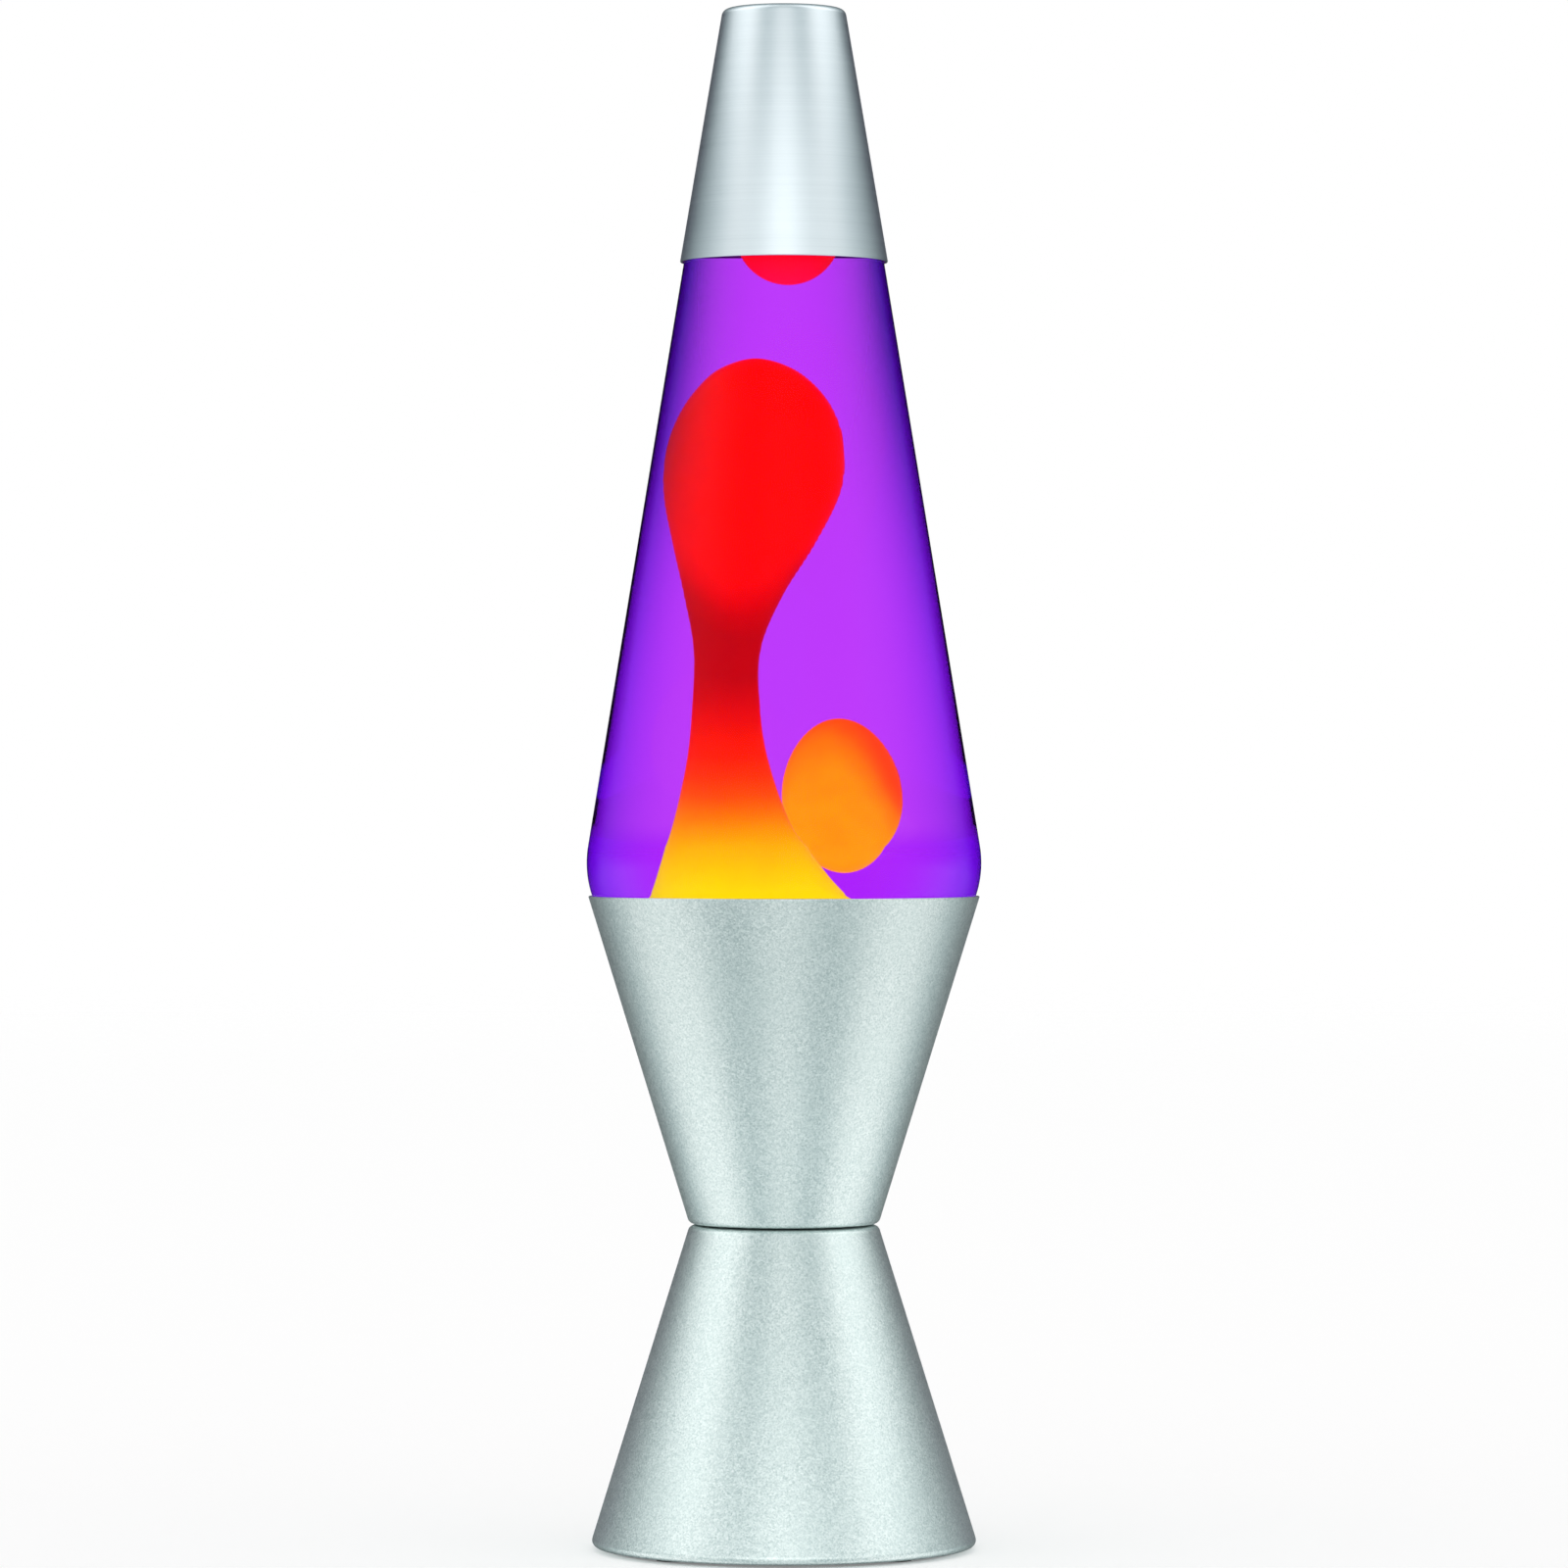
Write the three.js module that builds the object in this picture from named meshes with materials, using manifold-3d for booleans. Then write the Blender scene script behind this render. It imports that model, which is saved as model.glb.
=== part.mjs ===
// Motion lamp: a tapered glass bottle of violet liquid and wax, under a spun cap, standing in a cup
// on a conical base with a small bulb inside. Millimetres, +Z up, origin on the floor under the axis.
import * as THREE from 'three';
import { mergeVertices } from 'three/addons/utils/BufferGeometryUtils.js';
import Module from 'manifold-3d';

// Spun metal: the base cone, the cup and the cap are one sheet thick.
const sheet = 0.6;
const footProud = 0.8; // the soles stand this far below the base's rim
const baseRadius = 46.5; // at the base's rim
const baseHeight = 76.8;
const waistRadius = 22.6; // at the top of the base
const baseLipWidth = 4.5; // the rim's lip turned inwards, which carries the bottom plate
const baseLipRound = 1.6;
const waistGap = 0.4; // the dark line between base and cup
const waistRound = 1.6;
const cupFloorRadius = 22.7;
const cupRimRadius = 46.9;
const cupHeight = 78.4;

// Glass bottle. Its lower cone seats in the cup, and its upper cone tapers to the shoulder.
const glassWall = 3.2;
const glassFloor = 4.5;
const bulgeRise = 6.2; // where the two cones would meet, above the cup's rim
const bulgeRound = 25;
const shoulderRise = 179.6; // shoulder above the cup's rim
const shoulderOverLip = 6.2; // the shoulder's radius beyond the lip's
const shoulderDrop = 8.5; // height of the shoulder's slope up to the neck
const neckRadius = 11.8;
const neckLength = 2.5;
const mouthRadius = 9.2;
const lipRadius = 13.2;
const lipHeight = 5.8;

// Cap, crown and filling.
const capReach = 27.9; // the cap's rim below the shoulder
const capHeight = 60.7;
const capLeanIn = 0.28; // the cap leans in this much more than the bottle, over its height
const crownFlutes = 21;
const fluteDepth = 0.3;
const crownSheet = 0.4;
const linerThickness = 1.5;
const liquidDrop = 7; // liquid's surface below the shoulder
const columnHeadroom = 18.1; // between the wax column and the blob at the top

// Bulb with a 17 mm screw base, and its socket.
const bulbRadius = 17.5;
const bulbLength = 58.7;
const bulbTopGap = 6.1; // under the bottle's floor, for the heat and for the turns that free the bulb
const bulbWall = 0.8;
const threadRadius = 8.25;
const threadPitch = 2.82;
const threadTurns = 5;
const bulbBaseHeight = 22.6; // from the bulb's tip to the rim of its screw shell
const shellProud = 2.1; // the shell's rim above the socket
const sleeveThickness = 0.4;
const socketWall = 2.7;
const socketCollar = 3; // the collar's width beyond the body
const socketFloorThickness = 3;
const contactRise = 3.5; // the bulb's tip above the socket's floor

// Bottom fittings.
const plateThickness = 2;
const plateWallHeight = 3.2;
const ventCount = 12;
const footRadius = 5;
const footInset = 1; // inside the base's lip
const footCount = 4;
const inletHeight = 15; // cord inlet above the floor
const inletBore = 4;

// Clearances.
const gap = 0.3; // between pieces that touch
const seatGap = 0.3; // between the bottle and the cup
const capGap = 0.33; // between the cap and the bottle
const flowGap = 0.3; // round the wax and the liquid
const threadPlay = 0.4; // between the bulb's thread and its sleeve

const ringSides = 36; // sides of the large round pieces
const smallSides = 20;

const baseTop = footProud + baseHeight;
const cupFloor = baseTop + waistGap;
const rimHeight = cupFloor + cupHeight;
const baseSlope = (baseRadius - waistRadius) / baseHeight;
const cupSlope = (cupRimRadius - cupFloorRadius) / cupHeight;
const shoulderHeight = rimHeight + shoulderRise;
const shoulderRadius = lipRadius + shoulderOverLip;
const bulgeHeight = rimHeight + bulgeRise;

// The socket hangs from the cup's floor, the bulb stands in the socket, and the bottle clears the bulb.
const sleeveInside = threadRadius + threadPlay;
const socketInside = sleeveInside + sleeveThickness + gap;
const socketRadius = socketInside + socketWall;
const collarThickness = 2.1;
const collarBottom = cupFloor + sheet + gap;
const socketTop = collarBottom + collarThickness;
const shellTop = socketTop + shellProud;
const bulbBottom = shellTop - bulbBaseHeight;
const socketFloor = bulbBottom - contactRise;
const socketBottom = socketFloor - socketFloorThickness;
const bulbTop = bulbBottom + bulbLength;
const globeFloor = bulbTop + bulbTopGap;

// How far a wall of this thickness spreads along the radius of a cone of this slope.
const spread = (thickness, slope) => thickness * Math.hypot(1, slope);
const baseOutside = (z) => baseRadius - (z - footProud) * baseSlope;
const baseInside = (z) => baseOutside(z) - spread(sheet, baseSlope);
const cupOutside = (z) => cupRimRadius - (rimHeight - z) * cupSlope;
const cupInside = (z) => cupOutside(z) - spread(sheet, cupSlope);
const seatOutside = (z) => cupInside(z) - spread(seatGap, cupSlope);
const bulgeRadius = seatOutside(bulgeHeight);
const glassSlope = (bulgeRadius - shoulderRadius) / (shoulderHeight - bulgeHeight);
const glassOutside = (z) => shoulderRadius + (shoulderHeight - z) * glassSlope;

const wasm = await Module();
wasm.setup();
const lamp = new THREE.Group();

// ---- shared shapes ----

function arc(centreR, centreZ, radius, fromDeg, toDeg, steps) {
  const points = [];
  for (let i = 0; i <= steps; i++) {
    const a = THREE.MathUtils.degToRad(fromDeg + ((toDeg - fromDeg) * i) / steps);
    points.push(new THREE.Vector2(centreR + radius * Math.cos(a), centreZ + radius * Math.sin(a)));
  }
  return points;
}

// Outline through corners [radius, height, round, steps]: a round is drawn as a short run of chords.
function outline(corners) {
  const points = [];
  corners.forEach(([r, z, round = 0, steps = 2], i) => {
    const corner = new THREE.Vector2(r, z);
    if (!round) {
      points.push(corner);
      return;
    }
    const before = new THREE.Vector2(...corners[i - 1].slice(0, 2)).sub(corner).normalize();
    const after = new THREE.Vector2(...corners[i + 1].slice(0, 2)).sub(corner).normalize();
    const half = Math.acos(THREE.MathUtils.clamp(before.dot(after), -1, 1)) / 2;
    const middle = before.clone().add(after).normalize();
    const centre = corner.clone().addScaledVector(middle, round / Math.sin(half));
    const start = corner.clone().addScaledVector(before, round / Math.tan(half)).sub(centre);
    const turn = Math.sign(start.cross(middle.clone().negate())) * (Math.PI - 2 * half);
    for (let k = 0; k <= steps; k++) {
      points.push(start.clone().rotateAround(new THREE.Vector2(), (turn * k) / steps).add(centre));
    }
  });
  return points;
}

// Turned about Z. The outline runs up the outside and comes back down the inside.
function turned(points, sides = ringSides) {
  return new THREE.LatheGeometry(points, sides).rotateX(Math.PI / 2);
}

// An outline that doesn't touch the axis is closed onto its first point.
function ring(corners, sides = ringSides) {
  const points = outline(corners);
  return turned([...points, points[0].clone()], sides);
}

function rod(radius, length, sides = smallSides) {
  return new THREE.CylinderGeometry(radius, radius, length, sides).rotateX(Math.PI / 2);
}

function solid(geometry) {
  const bare = geometry.clone().deleteAttribute('normal').deleteAttribute('uv');
  const merged = mergeVertices(bare, 1e-4);
  return new wasm.Manifold(new wasm.Mesh({
    numProp: 3,
    vertProperties: merged.attributes.position.array,
    triVerts: new Uint32Array(merged.index.array),
  }));
}

function fromSolid(made) {
  const mesh = made.getMesh();
  const geometry = new THREE.BufferGeometry();
  geometry.setAttribute('position', new THREE.BufferAttribute(mesh.vertProperties, 3));
  geometry.setIndex(new THREE.BufferAttribute(mesh.triVerts, 1));
  geometry.computeVertexNormals();
  return geometry;
}

function cut(body, ...tools) {
  return fromSolid(tools.reduce((left, tool) => left.subtract(solid(tool)), solid(body)));
}

function finish(color, roughness, metalness, opacity = 1) {
  return new THREE.MeshStandardMaterial({ color, roughness, metalness, opacity, transparent: opacity < 1 });
}

const finishes = {
  silverPaint: () => finish(0xa9b4b6, 0.34, 0.9),
  brushedSilver: () => finish(0xb4bcbd, 0.3, 1),
  glass: () => finish(0xe8e4ff, 0.03, 0, 0.25),
  liquid: () => finish(0x9a3cff, 0.05, 0, 0.5),
  redWax: () => finish(0xf5100a, 0.5, 0),
  orangeWax: () => finish(0xff7a10, 0.5, 0),
  tinplate: () => finish(0xc9c9c4, 0.35, 1),
  cork: () => finish(0xd9d2c0, 0.8, 0),
  brass: () => finish(0xc9a24a, 0.35, 1),
  nickel: () => finish(0xc4c2bb, 0.3, 1),
  steel: () => finish(0x9c9d9e, 0.4, 1),
  phenolic: () => finish(0x17171a, 0.45, 0),
  blackPlastic: () => finish(0x141414, 0.6, 0),
  rubber: () => finish(0x1b1b1b, 0.9, 0),
  clearGlass: () => finish(0xf4f6f8, 0.03, 0, 0.3),
  solder: () => finish(0xb8b8b4, 0.45, 1),
  tungsten: () => finish(0x55524e, 0.5, 1),
};

function add(name, geometry, look, parent = lamp) {
  const mesh = new THREE.Mesh(geometry, finishes[look]());
  mesh.name = name;
  parent.add(mesh);
  return mesh;
}

// ---- base: two cones clamped together by the socket ----

const waistHole = socketRadius + 0.4;
const lipInside = baseRadius - baseLipWidth;
const footCircle = lipInside - footRadius - footInset;
const baseAxisNormal = Math.atan(baseSlope);

function baseSkirt() {
  const flangeTop = baseTop - sheet;
  const lipTop = footProud + sheet;
  return ring([
    [lipInside, footProud],
    [baseRadius, footProud, baseLipRound],
    [waistRadius, baseTop, waistRound],
    [waistHole, baseTop],
    [waistHole, flangeTop],
    [baseInside(flangeTop), flangeTop, waistRound - sheet, 1],
    [baseInside(lipTop), lipTop, baseLipRound - sheet, 1],
    [lipInside, lipTop],
  ]);
}

// The cord inlet's frame stands on the back of the base, square to its wall.
function atInlet(thing) {
  thing.rotateX(-Math.PI / 2 + baseAxisNormal);
  thing.translate(0, baseOutside(inletHeight), inletHeight);
  return thing;
}

const sleeveRadius = inletBore + 1.2;
const inletHole = atInlet(rod(sleeveRadius + gap, 12));
add('base_skirt', cut(baseSkirt(), inletHole), 'silverPaint');

function cordGrommet() {
  const outerFlange = sleeveRadius + 2;
  const innerFlange = sleeveRadius + 1;
  const bow = innerFlange ** 2 / (2 * baseInside(inletHeight)); // the wall's curve behind the flange
  const backFace = -sheet - gap - bow;
  return atInlet(ring([
    [inletBore, backFace - 1.2],
    [innerFlange, backFace - 1.2],
    [innerFlange, backFace],
    [sleeveRadius, backFace],
    [sleeveRadius, gap],
    [outerFlange, gap],
    [outerFlange, gap + 1.3, 0.6, 1],
    [inletBore, gap + 1.3],
  ], smallSides));
}
add('cord_grommet', cordGrommet(), 'blackPlastic');

function baseCup() {
  const floorTop = cupFloor + sheet;
  return ring([
    [waistHole, cupFloor],
    [cupFloorRadius, cupFloor, waistRound],
    [cupRimRadius, rimHeight],
    [cupInside(rimHeight), rimHeight],
    [cupInside(floorTop), floorTop, waistRound - sheet, 1],
    [waistHole, floorTop],
  ]);
}
add('base_cup', baseCup(), 'silverPaint');

// ---- bottom plate and feet ----

const plateBottom = footProud + sheet + gap;
const plateRadius = baseInside(plateBottom + plateWallHeight) - gap;

function bottomPlate() {
  const plateWall = 1.6;
  const plateTop = plateBottom + plateThickness;
  const wallTop = plateBottom + plateWallHeight;
  const disc = turned(outline([
    [0, plateBottom],
    [plateRadius, plateBottom],
    [plateRadius, wallTop],
    [plateRadius - plateWall, wallTop],
    [plateRadius - plateWall, plateTop],
    [0, plateTop],
  ]));
  const ventWidth = 3;
  const ventInside = plateRadius * 0.35;
  const ventOutside = footCircle - footRadius - 2;
  const vents = [];
  for (let i = 0; i < ventCount; i++) {
    const vent = new THREE.BoxGeometry(ventOutside - ventInside, ventWidth, 3 * plateThickness);
    vent.translate((ventInside + ventOutside) / 2, 0, plateBottom);
    vents.push(vent.rotateZ((2 * Math.PI * i) / ventCount));
  }
  return cut(disc, ...vents);
}
add('bottom_plate', bottomPlate(), 'blackPlastic');

const footHeight = plateBottom - gap;
for (let i = 0; i < footCount; i++) {
  const turn = (2 * Math.PI * (i + 0.5)) / footCount;
  const foot = add(`foot_${i + 1}`, rod(footRadius, footHeight, 20), 'rubber');
  foot.position.set(footCircle * Math.cos(turn), footCircle * Math.sin(turn), footHeight / 2);
}

// ---- socket, hung through the waist ----

const socketCollarRadius = socketRadius + socketCollar;
const screwHeight = socketBottom + 4.5;
const screwShank = 1.5;
const terminals = [['live', 0], ['neutral', Math.PI]];

// A tool or screw laid along +X at the terminals' height, turned to its side of the socket.
function atTerminal(geometry, fromAxis, turn) {
  return geometry.rotateY(Math.PI / 2).translate(fromAxis, 0, screwHeight).rotateZ(turn);
}

function socketBody() {
  const stepHeight = socketBottom + 9;
  const terminalRadius = socketRadius - 1;
  const body = turned(outline([
    [0, socketBottom],
    [terminalRadius, socketBottom],
    [terminalRadius, stepHeight],
    [socketRadius, stepHeight + 1],
    [socketRadius, collarBottom],
    [socketCollarRadius, collarBottom],
    [socketCollarRadius, socketTop, 0.8, 1],
    [socketInside, socketTop],
    [socketInside, socketFloor],
    [0, socketFloor],
  ]), smallSides);
  const holes = terminals.map(([, turn]) =>
    atTerminal(rod(screwShank + gap, 4, 12), terminalRadius, turn));
  return cut(body, ...holes);
}
add('socket_body', socketBody(), 'phenolic');

function terminalScrew(turn) {
  const headRadius = 2.5;
  const headInside = socketRadius - 1 + gap;
  const screw = turned(outline([
    [0, headInside - 1.7],
    [screwShank, headInside - 1.7],
    [screwShank, headInside],
    [headRadius, headInside],
    [headRadius, headInside + 1.2],
    [0, headInside + 1.6],
  ]), 12);
  return atTerminal(screw, 0, turn);
}
terminals.forEach(([side, turn]) => add(`terminal_screw_${side}`, terminalScrew(turn), 'brass'));

const shellBottom = bulbBottom + 3.4;
const sleeveBottom = bulbBottom + 1;
const sleeveTop = socketTop - 1.5;

add('socket_shell', ring([
  [sleeveInside, sleeveBottom],
  [sleeveInside + sleeveThickness, sleeveBottom],
  [sleeveInside + sleeveThickness, sleeveTop],
  [sleeveInside, sleeveTop],
], smallSides), 'brass');

// Spring tongue on the socket's floor, which the bulb's tip presses on.
function socketContact() {
  const tongue = new THREE.Shape();
  const low = socketFloor + gap;
  const high = bulbBottom - gap;
  const leaf = 0.4;
  tongue.moveTo(-6, low);
  tongue.lineTo(3, low);
  tongue.lineTo(3, low + leaf);
  tongue.lineTo(-5, low + leaf);
  tongue.lineTo(-1.5, high - leaf);
  tongue.lineTo(2, high - leaf);
  tongue.lineTo(2, high);
  tongue.lineTo(-1.8, high);
  tongue.lineTo(-6, low + leaf);
  const width = 4.5;
  const bent = new THREE.ExtrudeGeometry(tongue, { depth: width, bevelEnabled: false });
  return bent.rotateX(Math.PI / 2).translate(0, width / 2, 0);
}
add('socket_contact', socketContact(), 'brass');

const flangeUnder = baseTop - sheet;
const washerThickness = 0.8;
const clampInside = socketRadius + gap;
add('socket_lock_washer', ring([
  [clampInside, flangeUnder - gap - washerThickness],
  [clampInside + 3.8, flangeUnder - gap - washerThickness],
  [clampInside + 3.8, flangeUnder - gap],
  [clampInside, flangeUnder - gap],
], smallSides), 'steel');

const clampTop = flangeUnder - 2 * gap - washerThickness;
const clampHeight = 4;
add('socket_ring', ring([
  [clampInside, clampTop - clampHeight],
  [clampInside + 4.6, clampTop - clampHeight, 0.7, 1],
  [clampInside + 4.6, clampTop],
  [clampInside, clampTop],
], smallSides), 'phenolic');

// Cover over the terminals, open above, with a hole for the leads below.
const coverInside = socketRadius + 1.9;
const coverWall = 1.1;
const coverBottom = socketBottom - 5.5;
const leadHole = 3.4;
add('terminal_cover', ring([
  [leadHole, coverBottom],
  [coverInside + coverWall, coverBottom, 2, 2],
  [coverInside + coverWall, socketBottom + 8],
  [coverInside, socketBottom + 8],
  [coverInside, coverBottom + coverWall, 1, 1],
  [leadHole, coverBottom + coverWall],
], smallSides), 'phenolic');

// ---- bulb ----

const threadDepth = 0.65;
const shellWall = 0.9; // behind the thread's root
const neckOfBulb = threadRadius - threadDepth - shellWall - gap;
const stemRadius = neckOfBulb - bulbWall - 0.6;
const ballCentre = bulbTop - bulbRadius;

// One wall of the bulb, from the neck's foot to the crown; inset moves it inwards.
function bulbWallLine(inset) {
  const neck = neckOfBulb - inset;
  const foot = shellTop - 5;
  const flare = shellTop + gap;
  return [
    new THREE.Vector2(neck, foot),
    new THREE.Vector2(neck, flare),
    new THREE.Vector2(threadRadius - inset, flare + 1.6),
    ...arc(0, ballCentre, bulbRadius - inset, -32, 90, 7),
  ];
}
const bulbLine = [...bulbWallLine(0), ...bulbWallLine(bulbWall).reverse()];
bulbLine[bulbWallLine(0).length - 1].x = 0;
bulbLine[bulbWallLine(0).length].x = 0;
add('bulb_glass', turned([...bulbLine, bulbLine[0].clone()], smallSides), 'clearGlass');

function bulbShell() {
  const root = threadRadius - threadDepth;
  const inside = neckOfBulb + gap;
  const corners = [[inside, shellBottom], [root, shellBottom]];
  for (let i = 0; i < threadTurns; i++) {
    corners.push([root, shellBottom + threadPitch * (i + 0.25)]);
    corners.push([threadRadius, shellBottom + threadPitch * (i + 0.75)]);
  }
  corners.push([root, shellBottom + threadPitch * (threadTurns + 0.25)]);
  corners.push([root, shellTop], [inside, shellTop]);
  return ring(corners, smallSides);
}
add('bulb_shell', bulbShell(), 'nickel');

const tipThickness = 0.6;
const tipRadius = 2.6;
add('bulb_insulator', turned(outline([
  [0, bulbBottom + tipThickness + gap],
  [tipRadius + 0.8, bulbBottom + tipThickness + gap],
  [neckOfBulb, shellBottom - gap],
  [neckOfBulb, shellBottom + 1],
  [0, shellBottom + 1],
]), smallSides), 'phenolic');

add('bulb_tip', turned(outline([
  [0, bulbBottom],
  [tipRadius, bulbBottom, 0.3, 1],
  [tipRadius, bulbBottom + tipThickness],
  [0, bulbBottom + tipThickness],
]), 16), 'solder');

const stemTop = ballCentre - 6;
const stemFoot = shellTop - 4;
add('bulb_stem', turned(outline([
  [0, stemFoot],
  [stemRadius, stemFoot],
  [1.7, stemFoot + 0.55 * (stemTop - stemFoot), 2],
  [1.7, stemTop],
  [0, stemTop],
]), 12), 'clearGlass');

// The filament with its two lead wires, in one run from side to side of the stem.
function filament() {
  const halfSpan = 7;
  const route = new THREE.CatmullRomCurve3([
    new THREE.Vector3(-1, 0, stemTop + gap + 0.3),
    new THREE.Vector3(-4, 0, stemTop + 4),
    new THREE.Vector3(-halfSpan, 0, ballCentre - 1),
    new THREE.Vector3(-halfSpan * 0.6, 0, ballCentre + 2),
    new THREE.Vector3(0, 0, ballCentre + 3),
    new THREE.Vector3(halfSpan * 0.6, 0, ballCentre + 2),
    new THREE.Vector3(halfSpan, 0, ballCentre - 1),
    new THREE.Vector3(4, 0, stemTop + 4),
    new THREE.Vector3(1, 0, stemTop + gap + 0.3),
  ]);
  const wire = new THREE.Shape();
  wire.absarc(0, 0, 0.35, 0, 2 * Math.PI);
  return new THREE.ExtrudeGeometry(wire, { steps: 24, curveSegments: 3, extrudePath: route });
}
add('bulb_filament', filament(), 'tungsten');

// ---- glass bottle ----

// The bottle's inner wall, from its floor up, moved inwards by a further inset.
function insideCorners(inset) {
  const wall = glassWall + inset;
  const seatSpread = spread(wall, cupSlope);
  const taperSpread = spread(wall, glassSlope);
  const floorTop = globeFloor + glassFloor + inset;
  const bulgeShift = (seatSpread - taperSpread) / (cupSlope + glassSlope);
  const shoulder = shoulderHeight - 1.5 - 0.4 * inset;
  return [
    [seatOutside(floorTop) - seatSpread, floorTop, 5],
    [bulgeRadius + bulgeShift * cupSlope - seatSpread, bulgeHeight + bulgeShift, bulgeRound - wall, 4],
    [glassOutside(shoulder) - taperSpread, shoulder, 7],
    [mouthRadius - inset, shoulderHeight + shoulderDrop - 1.5, 4],
  ];
}

const neckFoot = shoulderHeight + shoulderDrop;
const lipFoot = neckFoot + neckLength;
const mouthTop = lipFoot + lipHeight;

function globeBottle() {
  const [floorCorner, bulgeCorner, shoulderCorner, neckCorner] = insideCorners(0);
  return turned(outline([
    [0, globeFloor],
    [seatOutside(globeFloor), globeFloor, 6],
    [bulgeRadius, bulgeHeight, bulgeRound, 5],
    [shoulderRadius, shoulderHeight, 10, 3],
    [neckRadius, neckFoot, 4],
    [neckRadius, lipFoot],
    [lipRadius, lipFoot + 0.8],
    [lipRadius, mouthTop, 0.8, 1],
    [mouthRadius, mouthTop],
    neckCorner,
    shoulderCorner,
    bulgeCorner,
    floorCorner,
    [0, floorCorner[1]],
  ]));
}
add('globe_bottle', globeBottle(), 'glass');

// Crimped crown: its skirt's radius waves once a flute.
const linerBottom = mouthTop + gap;
const crownUnder = linerBottom + linerThickness + gap;

function crownCap() {
  const skirtFoot = lipFoot + 1.6;
  const inside = lipRadius + fluteDepth + gap;
  const crownTop = crownUnder + crownSheet;
  const flared = turned(outline([
    [inside, skirtFoot],
    [inside + crownSheet, skirtFoot],
    [inside + crownSheet, crownUnder - 0.8],
    [inside - 0.4, crownTop],
    [0, crownTop + 0.1],
    [0, crownUnder],
    [inside - 0.4, crownUnder],
    [inside, skirtFoot],
  ]), 2 * crownFlutes);
  const place = flared.attributes.position;
  for (let i = 0; i < place.count; i++) {
    const [x, y, z] = [place.getX(i), place.getY(i), place.getZ(i)];
    const radius = Math.hypot(x, y);
    if (z > crownUnder - 1 || radius < lipRadius) continue;
    const wave = 1 + (fluteDepth * Math.cos(crownFlutes * Math.atan2(x, y))) / radius;
    place.setXY(i, x * wave, y * wave);
  }
  return flared;
}
add('crown_cap', crownCap(), 'tinplate');
add('crown_liner', rod(lipRadius - 0.4, linerThickness).translate(
  0, 0, linerBottom + linerThickness / 2), 'cork');

// ---- cap ----

const capRim = shoulderHeight - capReach;
const capTop = capRim + capHeight;
const capInsideRim = glassOutside(capRim) + capGap;

function capShell() {
  const capSlope = glassSlope + capLeanIn / capHeight;
  const capSpread = spread(sheet, capSlope);
  const topInside = capInsideRim - (capHeight - sheet) * capSlope;
  return turned(outline([
    [capInsideRim, capRim],
    [capInsideRim + capSpread, capRim],
    [capInsideRim + capSpread - capHeight * capSlope, capTop, 1.8, 3],
    [0, capTop],
    [0, capTop - sheet],
    [topInside, capTop - sheet, 1.2, 2],
    [capInsideRim, capRim],
  ]));
}
add('cap_shell', capShell(), 'brushedSilver');

// ---- wax, heating coil and liquid ----

// The blob of wax at the liquid's surface.
const liquidTop = shoulderHeight - liquidDrop;
const topDrop = { width: 9.1, height: 13.2, at: [0.5, 0, liquidTop - 13] };

// Wax that stands up from the pool on the bottle's floor, and a drop on its way up beside it. Each station
// is [share of the height from the pool's rim to the column's top, lean along X, radius].
const poolRadius = insideCorners(flowGap)[0][0];
const poolFloor = insideCorners(flowGap)[0][1];
const poolRim = poolFloor + 7;
const columnTop = topDrop.at[2] - topDrop.height - columnHeadroom;
const columnStations = [
  [0.035, -0.8, poolRadius - 3.6],
  [0.085, -3, poolRadius * 0.76],
  [0.13, -5.4, 19],
  [0.175, -7.8, 14.4],
  [0.225, -9.3, 11.1],
  [0.335, -10.2, 7.5],
  [0.43, -10.5, 5.9],
  [0.52, -10.3, 5.9],
  [0.605, -9.3, 8.5],
  [0.695, -7.6, 12.3],
  [0.78, -6.1, 15.4],
  [0.85, -5.5, 15.9],
  [0.905, -5.1, 14.6],
  [0.95, -5, 11.8],
  [0.985, -5.2, 7.8],
].map(([share, lean, radius]) => ({ z: poolRim + share * (columnTop - poolRim), lean, radius }));
const risingDrop = {
  width: 11,
  height: 0.1275 * (columnTop - poolRim),
  at: [9.3, 12, poolRim + 0.292 * (columnTop - poolRim)],
};

function waxColumn(grow) {
  const wallAt = (z) => seatOutside(z) - spread(glassWall + flowGap, cupSlope);
  const side = new THREE.SplineCurve([
    new THREE.Vector2(wallAt(poolRim), poolRim),
    ...columnStations.map(({ z, radius }) => new THREE.Vector2(radius, z)),
    new THREE.Vector2(0, columnTop),
  ]);
  const sidePoints = side.getPoints(22).map((p) => new THREE.Vector2(p.x + grow, p.y));
  sidePoints[sidePoints.length - 1].set(0, columnTop + grow);
  const foot = outline([
    [0, poolFloor - grow],
    [poolRadius, poolFloor - grow, 5],
    [wallAt(poolRim), poolRim],
  ]).slice(0, -1);
  const column = turned([...foot, ...sidePoints], smallSides);
  const lean = new THREE.SplineCurve([
    new THREE.Vector2(0, poolFloor - 5),
    new THREE.Vector2(0, poolRim),
    ...columnStations.map(({ z, lean }) => new THREE.Vector2(lean, z)),
    new THREE.Vector2(-5.2, columnTop + 5),
  ]);
  const leanPoints = lean.getPoints(120);
  const place = column.attributes.position;
  for (let i = 0; i < place.count; i++) {
    const z = place.getZ(i);
    const above = Math.max(1, leanPoints.findIndex((p) => p.y >= z));
    const [low, high] = [leanPoints[above - 1], leanPoints[above]];
    const shift = THREE.MathUtils.mapLinear(z, low.y, high.y, low.x, high.x);
    place.setX(i, place.getX(i) + (z > poolRim ? shift : 0));
  }
  return column;
}

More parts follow.
